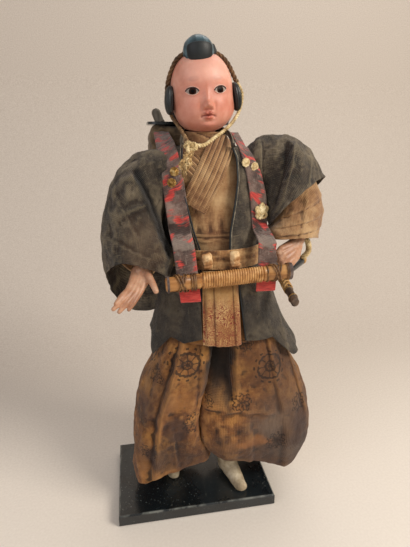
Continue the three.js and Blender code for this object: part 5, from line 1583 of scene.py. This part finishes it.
# How high cloth lies at a distance from the neck
def shoulderHeight(x, offset):
    low, high = 300, 342
    for _ in range(24):
        middle = (low + high) / 2
        at, _, wide, _ = outlineAt(middle)
        if wide + offset > abs(x - at):
            low = middle
        else:
            high = middle
    return low


# Ikat straps: a grey weave with ragged red patches that were dyed into the warp
def ikat(name, seed):
    material, tree, shader, base = agedCloth(
        name, "#4A3B37", "#6E5850", "#977F74", "#46302A", patch=14, stained=0.5, thread=0.9,
        rubbed="#A89A8E",
    )
    uv = addNode(tree, "TexCoord", out="UV")
    patches = addNode(
        tree, "Mapping", {"Vector": uv, "Location": (seed, 2 * seed, 0), "Scale": (0.75, 1.15, 1)}
    )
    area = addNode(tree, "TexNoise", {"Vector": patches, "Scale": 1.0, "Detail": 1.0})
    ragged = addNode(tree, "Mapping", {"Vector": uv, "Scale": (0.9, 7.0, 1)})
    rows = addNode(tree, "TexNoise", {"Vector": ragged, "Scale": 1.3, "Detail": 2.0})
    total = addNode(tree, "Math", [rows, 0.42, area], operation="MULTIPLY_ADD")
    height = addNode(tree, "SeparateXYZ", {"Vector": uv}, out="Y")
    end = addNode(tree, "MapRange", {"Value": height, "From Min": 1.1, "From Max": 0.5, "To Max": 0.35})
    total = addNode(tree, "Math", [total, end], operation="ADD")
    mask = addNode(
        tree, "MapRange", {"Value": total, "From Min": 0.74, "From Max": 0.86, "To Max": 0.88},
        interpolation_type="SMOOTHSTEP",
    )
    redStops = [(0.3, "#A02E2C"), (0.52, "#D03E38"), (0.8, "#E4685A")]
    red = addNode(tree, "ValToRGB", {"Fac": rows}, stops=redStops)
    mixed = addNode(tree, "Mix", {0: mask, 6: base, 7: red}, data_type="RGBA")
    tree.links.new(mixed, shader.inputs["Base Color"])
    return material


for side, strap in strapSides.items():
    bottomX, bottomZ = strap["bottom"]

    def strapShape(u, v):
        offset = straps["onJacket"] + straps["thick"]
        rise = min(v / straps["shoulder"], 1.0)
        away = (u - 0.5) * mix(straps["width"], straps["narrow"], smooth(rise, 0.3, 1))
        shoulder = shoulderHeight(strap["top"] + away, offset)
        z = mix(bottomZ, shoulder, math.sin(rise * math.pi / 2))
        share = (z - bottomZ) / (shoulder - bottomZ)
        x = mix(bottomX, strap["top"], share) + away + strap["bow"] * math.sin(math.pi * share)
        at = onFront(x, z, offset)
        # A taut strap bridges the hollow beside the chest and stands off the cloth at its outer edge
        taut = onFront(straps["taut"] * (x - away), z, offset).y
        at.y = mix(mix(taut, at.y, 0.3), at.y, smooth(z, 308, 326)) if z < 326 else at.y
        if v > straps["shoulder"]:
            end = Vector((strap["top"] + away, packFront - 0.4, straps["backZ"] + 1.5))
            return at.lerp(end, (v - straps["shoulder"]) / (1 - straps["shoulder"]))
        if z < straps["free"]:
            taut = onFront(straps["taut"] * (x - away), straps["free"], offset).y
            hung = mix(taut, onFront(x, straps["free"], offset).y, 0.3)
            share = smooth(straps["free"] - z, 0, straps["free"] - straps["caught"])
            at.y = mix(hung, barY + barDeep + 0.8, share)
        wave = 0.35 * math.sin(z * 0.21 + strap["seed"]) + 0.3 * math.cos(2 * math.pi * u)
        at.y -= wave * smooth(z, 262, 285) * (1 - smooth(z, 318, 328))
        return at

    band = clothGrid(side + "_ikat_strap", 16, 90, strapShape, (straps["width"], 165))
    crumple(band, 0.45, 9, 2.4 + strap["seed"])
    finishCloth(band, straps["thick"], reach=0.3)
    finishPiece(band, ikat(side + "IkatWeave", strap["seed"]), "figure", "strap_cloth", side + "_strap")

# Studs like small flowers, and a knotted rosette
studs = {
    "right_upper_stud": (-29.5, 311.5), "right_lower_stud": (-32, 303), "left_upper_stud": (28.5, 318),
    "left_lower_stud": (36.5, 314.5),
}


# A place on a strap with the directions out of it, across it and up it
def strapFrame(x, z, offset):
    foot = onFront(x, z, offset)
    foot.y = mix(onFront(straps["taut"] * x, z, offset).y, foot.y, 0.3)
    angle = angleAt(straps["taut"] * x, z, offset)
    out = (aroundBody(angle, z, offset + 2) - aroundBody(angle, z, offset)).normalized()
    out = (out + Vector((0, -1, 0))).normalized()
    across = Vector((0, 0, 1)).cross(out).normalized()
    return foot, out, across, out.cross(across)


for name, (x, z) in studs.items():
    foot, out, across, up = strapFrame(x, z, straps["onJacket"] + straps["thick"] - 0.2)
    rim = [(0, 3.5), (0.8, 3.7), (1.3, 3.3), (1.0, 2.7), (1.4, 2.2), (1.1, 1.7), (1.7, 1.2), (1.9, 0.6)]
    stud = turnedForm(name + "_flower", foot, foot + out, rim, 48)
    middle = place(foot)
    for vertex in stud.data.vertices:
        away = vertex.co - middle
        turn = math.atan2(away.dot(up), away.dot(across))
        petal = 1 + 0.04 * math.cos(8 * turn)
        flat = away - out * away.dot(out)
        vertex.co = middle + flat * petal + out * away.dot(out)
    finishPiece(stud, shellButton if name.startswith("left") else brass, "figure", "brass", name)

rosetteShape = {"at": (42.5, 278.5), "petals": 5, "out": 3.7, "petal": 2.5}
foot, out, across, up = strapFrame(*rosetteShape["at"], straps["onJacket"] + straps["thick"])
petals = []
for k in range(rosetteShape["petals"]):
    turn = 2 * math.pi * k / rosetteShape["petals"] + 0.3
    heart = foot + (across * math.cos(turn) + up * math.sin(turn)) * rosetteShape["out"] + out * 1.2
    loop = []
    for i in range(25):
        t = 2 * math.pi * i / 24
        spin = across * math.cos(t + turn) + up * math.sin(t + turn)
        loop.append(heart + spin * rosetteShape["petal"] + out * (0.8 * math.sin(2 * t)))
    petals.append(loop)
# A raised coil in the middle of the petals and a flat one under them: steps, turn, rise and radius
for steps, turn, (rise, climb), (wide, less) in (
    (14, 1, (1.6, 0.1), (2.6, 0.18)), (34, 0.5, (0.8, 0), (4.6, 0.12))
):
    coil = []
    for i in range(steps):
        spin = across * math.cos(turn * i) + up * math.sin(turn * i)
        coil.append(foot + out * (rise + climb * i) + spin * (wide - less * i))
    petals.append(coil)
rosette = strandCord("knotted_rosette", petals, 2, 0.6, 0.85, 3.2)
finishPiece(rosette, goldCord, "figure", "gold_cord", "strap_rosette")
print("straps are laid over the shoulders")

# Cane bar across the front, whipped with thread and lashed with crossed cords
bar = {
    "from": (-41, barY, 227), "to": (62.5, barY, 233.5), "high": 6.6, "deep": barDeep,
    "wound": (0.27, 0.76), "turns": 25,
}
barStart, barEnd = Vector(bar["from"]), Vector(bar["to"])
barLength = (barEnd - barStart).length
barLine = (barEnd - barStart).normalized()
barUp = barLine.cross(Vector((0, 1, 0))).normalized()
barShape = []
for share, less in [
    (0, 2.4), (0.004, 1.3), (0.012, 0.7), (0.03, 0.6), (0.2, 0.5), (0.205, 0.9), (0.21, 0.4), (0.262, 0.3),
    (0.27, 1.5), (0.5, 1.5), (0.76, 1.5), (0.768, 0.3), (0.8, 0.4), (0.805, 0.9), (0.81, 0.5), (0.96, 0.6),
    (0.965, 0.3), (0.988, 0.3), (0.996, 1.1), (1, 2.4),
]:
    barShape.append((share * barLength, bar["high"] - less))
barForm = turnedForm("cane_bar", barStart, barEnd, barShape, 48, flatten=bar["deep"] / bar["high"])
finishPiece(barForm, cane, "figure", "cane", "yoke_bar")
# Lashings of darker split cane, and an end bound in faded purple thread
lashingCane = rampMaterial(
    "darkLashingCane", [(0.3, "#3A2615"), (0.5, "#6A4829"), (0.72, "#A27A4A")], 160.0, 0.5, 0.5
)[0]
darkBinding = rampMaterial(
    "fadedPurpleBinding", [(0.3, "#3A302E"), (0.5, "#5C4E4A"), (0.72, "#8A7A72")], 160.0, 0.7, 0.5
)[0]


def windingPath(start, end, turns, proud, phase=0.0, perTurn=20):
    path = []
    count = max(2, round(abs(turns) * perTurn))
    for i in range(count + 1):
        t = i / count
        angle = 2 * math.pi * turns * t + phase
        middle = barStart.lerp(barEnd, mix(start, end, t))
        rise = barUp * ((bar["high"] + proud) * math.cos(angle))
        path.append(middle + rise + Vector((0, (bar["deep"] + proud) * math.sin(angle), 0)))
    return path


low, high = bar["wound"]
winding = windingPath(low + 0.009, high - 0.009, bar["turns"], -0.85, perTurn=28)
thread = strandCord("bar_thread", [winding], 1, 0, 0.98, 1)
finishPiece(thread, caneThread, "figure", "cane", "bar_winding")
lashings = {
    "right": {"from": 0.05, "to": 0.2, "rings": (0.196, 0.215, 0.226)},
    "left": {"from": 0.8, "to": 0.945, "rings": (0.79, 0.95, 0.962)},
}
for side, lashing in lashings.items():
    low, high = lashing["from"], lashing["to"]
    back = math.pi / 2
    paths = []
    for shift in (0, 0.022):
        paths.append(windingPath(low + shift, high - 0.022 + shift, 1, 0.1, back, 64))
        paths.append(windingPath(low + 0.022 - shift, high - shift, -1, 0.5, back, 64))
    for ring in lashing["rings"]:
        paths.append(windingPath(ring, ring + 0.007, 1.05, 0.05, back, 40))
    band = strandCord(side + "_crossed_lashing", paths, 1, 0, 0.62, 1)
    finishPiece(band, lashingCane, "figure", "cane", side + "_bar_lashing")
ends = [windingPath(0.01, 0.03, 2.4, -0.15, 0, 24), windingPath(0.968, 0.992, 3, 0.1, 0, 24)]
endBands = strandCord("bar_end_bands", ends, 1, 0, 0.55, 1, sides=1)
finishPiece(endBands, darkBinding, "figure", "cane")
print("bar is whipped and lashed")

# Pack: a cloth-wrapped box under a thin lacquered board, with a scroll standing in its corner
packShape = {"corner": 8.5, "voxel": 1.6}
cube = {"size": 1, "location": (packLow + packHigh) / 2, "scale": packHigh - packLow}
pack = startForm("wrapped_pack", bpy.ops.mesh.primitive_cube_add, **cube)
bpy.ops.object.transform_apply(location=True, rotation=True, scale=True)
addModifier(pack, "BEVEL", width=packShape["corner"] / 1000, segments=5)
applyModifiers(pack)
addModifier(pack, "REMESH", mode="VOXEL", voxel_size=packShape["voxel"] / 1000)
applyModifiers(pack)
crumple(pack, 2.4, 24, 5.7, stretch=(1, 1, 1.5))
crumple(pack, 0.9, 8, 2.2)
markWearAndShade(pack)
select(pack)
bpy.ops.object.shade_smooth()
# Wrapping cloth: coarse, brown and rubbed
packCloth = agedCloth(
    "wornWrappingCloth", "#574532", "#6F5A42", "#8C7658", "#483626", patch=9, stained=0.4, rubbed="#9A8562"
)[0]
finishPiece(pack, packCloth, "figure", "brown_cloth", "pack_box")

scroll = {"lean": math.radians(22), "radius": 4.2, "sink": 19.7, "rise": 15}
scrollFoot = Vector((-33.5, packFront + 12, 348))
scrollLine = Vector((-math.sin(scroll["lean"]), 0, math.cos(scroll["lean"])))
span = scroll["sink"] + scroll["rise"]
rodShape = [
    (0, 4.1), (1, scroll["radius"]), (span - 13.5, scroll["radius"]), (span - 13, 4.5), (span - 11.6, 4.5),
    (span - 11.2, 4.1), (span - 3.2, 4.1), (span - 1.2, 3.2), (span, 1.6),
]
scrollForm = turnedForm(
    "standing_scroll", scrollFoot - scrollLine * scroll["sink"], scrollFoot + scrollLine * scroll["rise"],
    rodShape, 28, bevel=0.2,
)
# Aged wood, grey-brown with grain along the rod
greyWood = rampMaterial(
    "weatheredWood", [(0.3, "#4A4238"), (0.5, "#6E6456"), (0.72, "#9A8E7C")], 160.0, 0.6, 0.5,
    stretch=(1, 1, 0.2),
)[0]
finishPiece(scrollForm, greyWood, "figure", "strap_cloth", "pack_scroll")
print("pack is wrapped")

# Hands, carved and coated like the face
handChains = {
    "right": [
        [(-58, -27.5, 242.5), (-58.5, -35, 234)],
        [
            (-62.5, -33, 234), (-66.5, -42, 226), (-70.2, -47.5, 222.2), (-75.2, -54, 219.6),
            (-79.6, -59.2, 216.4),
        ],
        [
            (-60, -33, 233.5), (-63.5, -42, 225.4), (-67.6, -48.2, 221.2), (-75.0, -55.8, 217.2),
            (-81.6, -60.6, 212.6),
        ],
        [
            (-57.5, -33, 233.2), (-60.5, -42, 225.2), (-64.6, -48.6, 220.2), (-71.4, -55.6, 214.8),
            (-77.4, -59.6, 209.8),
        ],
        [
            (-55, -33.5, 233.4), (-57.2, -42, 226), (-61.4, -48.4, 219.8), (-66.2, -53.6, 214.2),
            (-70.2, -56.8, 209.8),
        ],
        [(-54.5, -35, 234.4), (-52.6, -43, 230), (-50.0, -49.5, 226), (-48.6, -53.6, 222.8)],
    ],
    "left": [
        [(83, -17.5, 259), (79.6, -21.5, 252), (74, -26, 246)],
        [
            (78, -22, 251), (69, -27.5, 248), (60.5, -31.5, 246.2), (57.6, -33, 243.6), (58, -30, 239.8),
            (63.5, -24.5, 239),
        ],
        [
            (77.5, -23, 249.5), (69.5, -29, 244.6), (61.5, -33.4, 242.2), (58.8, -34.6, 239.2),
            (60, -31, 235.4), (66, -25.4, 236),
        ],
        [
            (77, -23.5, 248.5), (71, -29.6, 241.6), (64.2, -34, 238.4), (61.4, -35, 235.4),
            (63, -31.6, 232), (69, -26.6, 233),
        ],
        [
            (77.5, -24, 247.5), (73.2, -29.4, 239), (67.4, -33.6, 235), (65.2, -34.4, 232.4),
            (67.2, -31, 229.8), (72, -27, 231.4),
        ],
        [(78, -25, 246.5), (75.4, -29.5, 238.5), (70.5, -32.5, 233.5)],
    ],
}
handRadii = {
    "right": [
        [5.6, 5.4], [4.2, 3.5, 2.7, 2.5, 1.7], [4.4, 3.7, 2.8, 2.5, 1.7], [4.4, 3.7, 2.8, 2.5, 1.7],
        [4.2, 3.5, 2.6, 2.2, 1.5], [4.4, 3.2, 2.7, 2.3],
    ],
    "left": [
        [5.6, 5.6, 5.4], [4.6, 4.4, 3.4, 3.0, 2.8, 2.6], [4.6, 4.4, 3.3, 3.0, 2.8, 2.6],
        [4.6, 4.4, 3.2, 2.8, 2.7, 2.6], [4.6, 4.2, 3.1, 2.7, 2.6, 2.5], [4.2, 3.4, 2.6],
    ],
}
for side, chains in handChains.items():
    ringed = [list(zip(chain, radii)) for chain, radii in zip(chains, handRadii[side])]
    hand = meltedForm(side + "_carved_hand", ringed, 0.5, 3)
    finishPiece(hand, handSkin, side + "_hand", "gofun", side + "_hand")
print("hands are carved")

# Short sword at the left hip, hilt forward, with a knife sheath and a knotted cord beside it
sword = {"pommel": (63.6, -66, 207.6), "mouth": (66.4, -23, 217.2), "scabbard": 66, "grip": 40}
pommel, mouth = Vector(sword["pommel"]), Vector(sword["mouth"])
swordLine = (mouth - pommel).normalized()
gripEnd = mouth - swordLine * 0.3
gripStart = gripEnd - swordLine * sword["grip"]
# Silk wrapping: pale crossed cords on the hilt
wrapSilk = rampMaterial(
    "ochreGripWrap", [(0.3, "#8A6232"), (0.5, "#B98E54"), (0.72, "#DDBB84")], 200.0, 0.75, 0.4
)[0]
# Horn and wood: dark with a low shine
darkWood = rampMaterial(
    "darkHornAndWood", [(0.3, "#2A1F18"), (0.5, "#4E3C2E"), (0.75, "#7C6650")], 120.0, 0.5, 0.3
)[0]
gripShape = [
    (0, 2.6), (0.8, 3.9), (6, 4.1), (6.4, 4.5), (8.4, 4.5), (8.8, 3.7), (18, 3.7), (18.4, 4.2), (20, 4.2),
    (20.4, 3.6), (38, 3.6), (38.4, 5.0), (39.8, 5.0), (40, 4.2),
]
grip = turnedForm("sword_hilt", gripStart, gripEnd, gripShape, 36, flatten=0.85, bevel=0.15)
finishPiece(grip, darkWood, "sword", "grip_wrap", "sword_grip")
across = swordLine.cross(Vector((0, 0, 1))).normalized()
up = swordLine.cross(across)
wraps = []
for k, pitch in ((0, 9), (0, -9), (math.pi, 9), (math.pi, -9)):
    path = []
    for i in range(121):
        gone = mix(20.8, 38, i / 120)
        angle = 2 * math.pi * gone / pitch + k
        sideways = across * (3.35 * math.cos(angle))
        path.append(gripStart + swordLine * gone + sideways + up * (3.95 * math.sin(angle)))
    wraps.append(path)
wrapping = strandCord("hilt_diamond_wrap", wraps, 1, 0, 0.85, 1, sides=1)
finishPiece(wrapping, wrapSilk, "sword", "grip_wrap", "sword_grip")
for k, (low, high, out) in enumerate([(6.6, 8.2, 4.55), (18.6, 19.8, 4.3)]):
    ringShape = [(0, out), (0.5, out + 0.15), (high - low - 0.5, out + 0.15), (high - low, out)]
    start, end = gripStart + swordLine * low, gripStart + swordLine * high
    ring = turnedForm("hilt_ring_" + str(k), start, end, ringShape, 36, flatten=0.85)
    finishPiece(ring, brass, "sword", "brass")

# Lacquer: nearly black with a clear reflection
lacquer = rampMaterial(
    "blackLacquer", [(0.3, "#0A0D0E"), (0.5, "#14191B"), (0.75, "#262D30")], 40.0, 0.24, 0.08, coat=0.5
)[0]
scabbardShape = [
    (0, 4.7), (2.5, 4.9), (3.2, 4.6), (26, 4.5), (46, 4.3), (60, 4.1), (62, 4.4), (65, 3.9), (65.7, 2.6)
]
scabbard = turnedForm(
    "lacquered_scabbard", mouth + swordLine * 0.3, mouth + swordLine * sword["scabbard"], scabbardShape, 32,
    flatten=0.75, bevel=0.15,
)
finishPiece(scabbard, lacquer, "figure", "lacquer", "scabbard")
sheath = {"from": Vector((71.5, -19, 220.5)), "to": Vector((94.5, -4, 229.5))}
sheathLength = (sheath["to"] - sheath["from"]).length
sheathShape = [
    (0, 2.6), (0.6, 3.0), (sheathLength * 0.4, 4.0), (sheathLength - 4, 4.6), (sheathLength - 3.6, 4.3)
]
sheathForm = turnedForm(
    "knife_sheath_body", sheath["from"], sheath["to"], sheathShape, 28, flatten=0.5, bevel=0.15
)
finishPiece(sheathForm, lacquer, "figure", "lacquer", "knife_sheath")
sheathLine = (sheath["to"] - sheath["from"]).normalized()
capStart = sheath["to"] - sheathLine * 3.6
sheathCap = turnedForm(
    "knife_sheath_cap", capStart, sheath["to"], [(0, 4.6), (0.5, 4.9), (2.8, 4.9), (3.6, 4.2)], 28,
    flatten=0.52, bevel=0.2,
)
finishPiece(sheathCap, wrapSilk, "figure", "grip_wrap", "knife_sheath")

hangerStart = aroundBody(86, 242, belt["offset"] + 1.6)
hangerEnd = mouth + swordLine * 22 + Vector((0, 0, 4.9))
hangerRoute = [hangerStart, hangerStart.lerp(hangerEnd, 0.5) + Vector((1, 0, 2.5)), hangerEnd]
hanger = strandCord("sword_hanger_cord", [throughPoints(hangerRoute, 30)], 3, 0.62, 0.66, 5)
finishPiece(hanger, goldCord, "figure", "gold_cord", "sword_hanger")
tie = sheath["to"] - sheathLine * 1.5
knotRoute = [
    tie + Vector((-3, -3.6, 2)), tie + Vector((1.5, -5, 8)), tie + Vector((1.0, -5.6, 15)),
    tie + Vector((-1.4, -5.2, 20.5)),
]
bundle = strandCord("sheath_cord_bundle", [throughPoints(knotRoute, 60)], 4, 1.7, 1.05, 8)
finishPiece(bundle, goldCord, "figure", "gold_cord")
print("sword is hung")

# Lacquered board: black with a pale rubbed edge and specks of dust
boardLacquer, tree, shader, base = rampMaterial(
    "wornBlackLacquer", [(0.3, "#0B0E10"), (0.5, "#14191C"), (0.75, "#20282C")], 30.0, 0.26, 0.06, coat=0.5
)
coords = addNode(tree, "TexCoord", out="Object")
specks = addNode(tree, "TexNoise", {"Vector": coords, "Scale": 520.0, "Detail": 2.0})
speckMask = addNode(
    tree, "MapRange", {"Value": specks, "From Min": 0.66, "From Max": 0.74, "To Max": 0.5},
    interpolation_type="SMOOTHSTEP",
)
boardParts = addNode(tree, "SeparateXYZ", {"Vector": coords}).node.outputs
boardHalf = {"X": 0.0755, "Y": 0.0495}  # in metres, as the nodes see it
reaches = []
for axis, half in boardHalf.items():
    out = addNode(tree, "Math", [boardParts[axis]], operation="ABSOLUTE")
    rim = {"Value": out, "From Min": half - 0.0016, "From Max": half - 0.0002}
    reaches.append(addNode(tree, "MapRange", rim))
edge = addNode(tree, "Math", [reaches[0], reaches[1]], operation="MAXIMUM")
top = addNode(tree, "MapRange", {"Value": boardParts["Z"], "From Min": 0.0103, "From Max": 0.0115})
rubbed = addNode(tree, "TexNoise", {"Vector": coords, "Scale": 90.0, "Detail": 5.0})
rubbedMask = addNode(tree, "MapRange", {"Value": rubbed, "From Min": 0.42, "From Max": 0.62, "To Max": 0.6})
edge = addNode(tree, "Math", [edge, top], operation="MULTIPLY")
edge = addNode(tree, "Math", [edge, rubbedMask], operation="MULTIPLY")
mask = addNode(tree, "Math", [edge, speckMask], operation="MAXIMUM")
dusty = addNode(tree, "Mix", {0: mask, 6: base, 7: colour("#8E9088")}, data_type="RGBA")
tree.links.new(dusty, shader.inputs["Base Color"])
# Bound straw of the body block and the arms, turned wooden pegs, and a dull blade that is hardly seen
straw = rampMaterial(
    "boundStraw", [(0.3, "#7E6234"), (0.5, "#B39458"), (0.72, "#D8BC80")], 240.0, 0.85, 0.8,
    stretch=(1, 1, 0.1),
)[0]
pegWood = rampMaterial(
    "turnedPegWood", [(0.3, "#6A4A2A"), (0.5, "#8E6A42"), (0.72, "#AE8A5C")], 200.0, 0.65, 0.3,
    stretch=(1, 1, 0.15),
)[0]
steel = rampMaterial(
    "dullSteel", [(0.3, "#6E7072"), (0.5, "#9A9C9E"), (0.72, "#C0C2C4")], 300.0, 0.35, 0.2, metallic=0.9
)[0]
keptNodes = {
    "base_board": boardLacquer, "pack_top_board": lacquer, "body_core": straw, "right_arm": straw,
    "left_arm": straw, "neck_peg": pegWood, "right_foot_peg": pegWood, "left_foot_peg": pegWood,
    "sword_blade": steel,
}
for name, material in keptNodes.items():
    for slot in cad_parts[name].material_slots:
        slot.material = material
print("kept nodes have their materials")
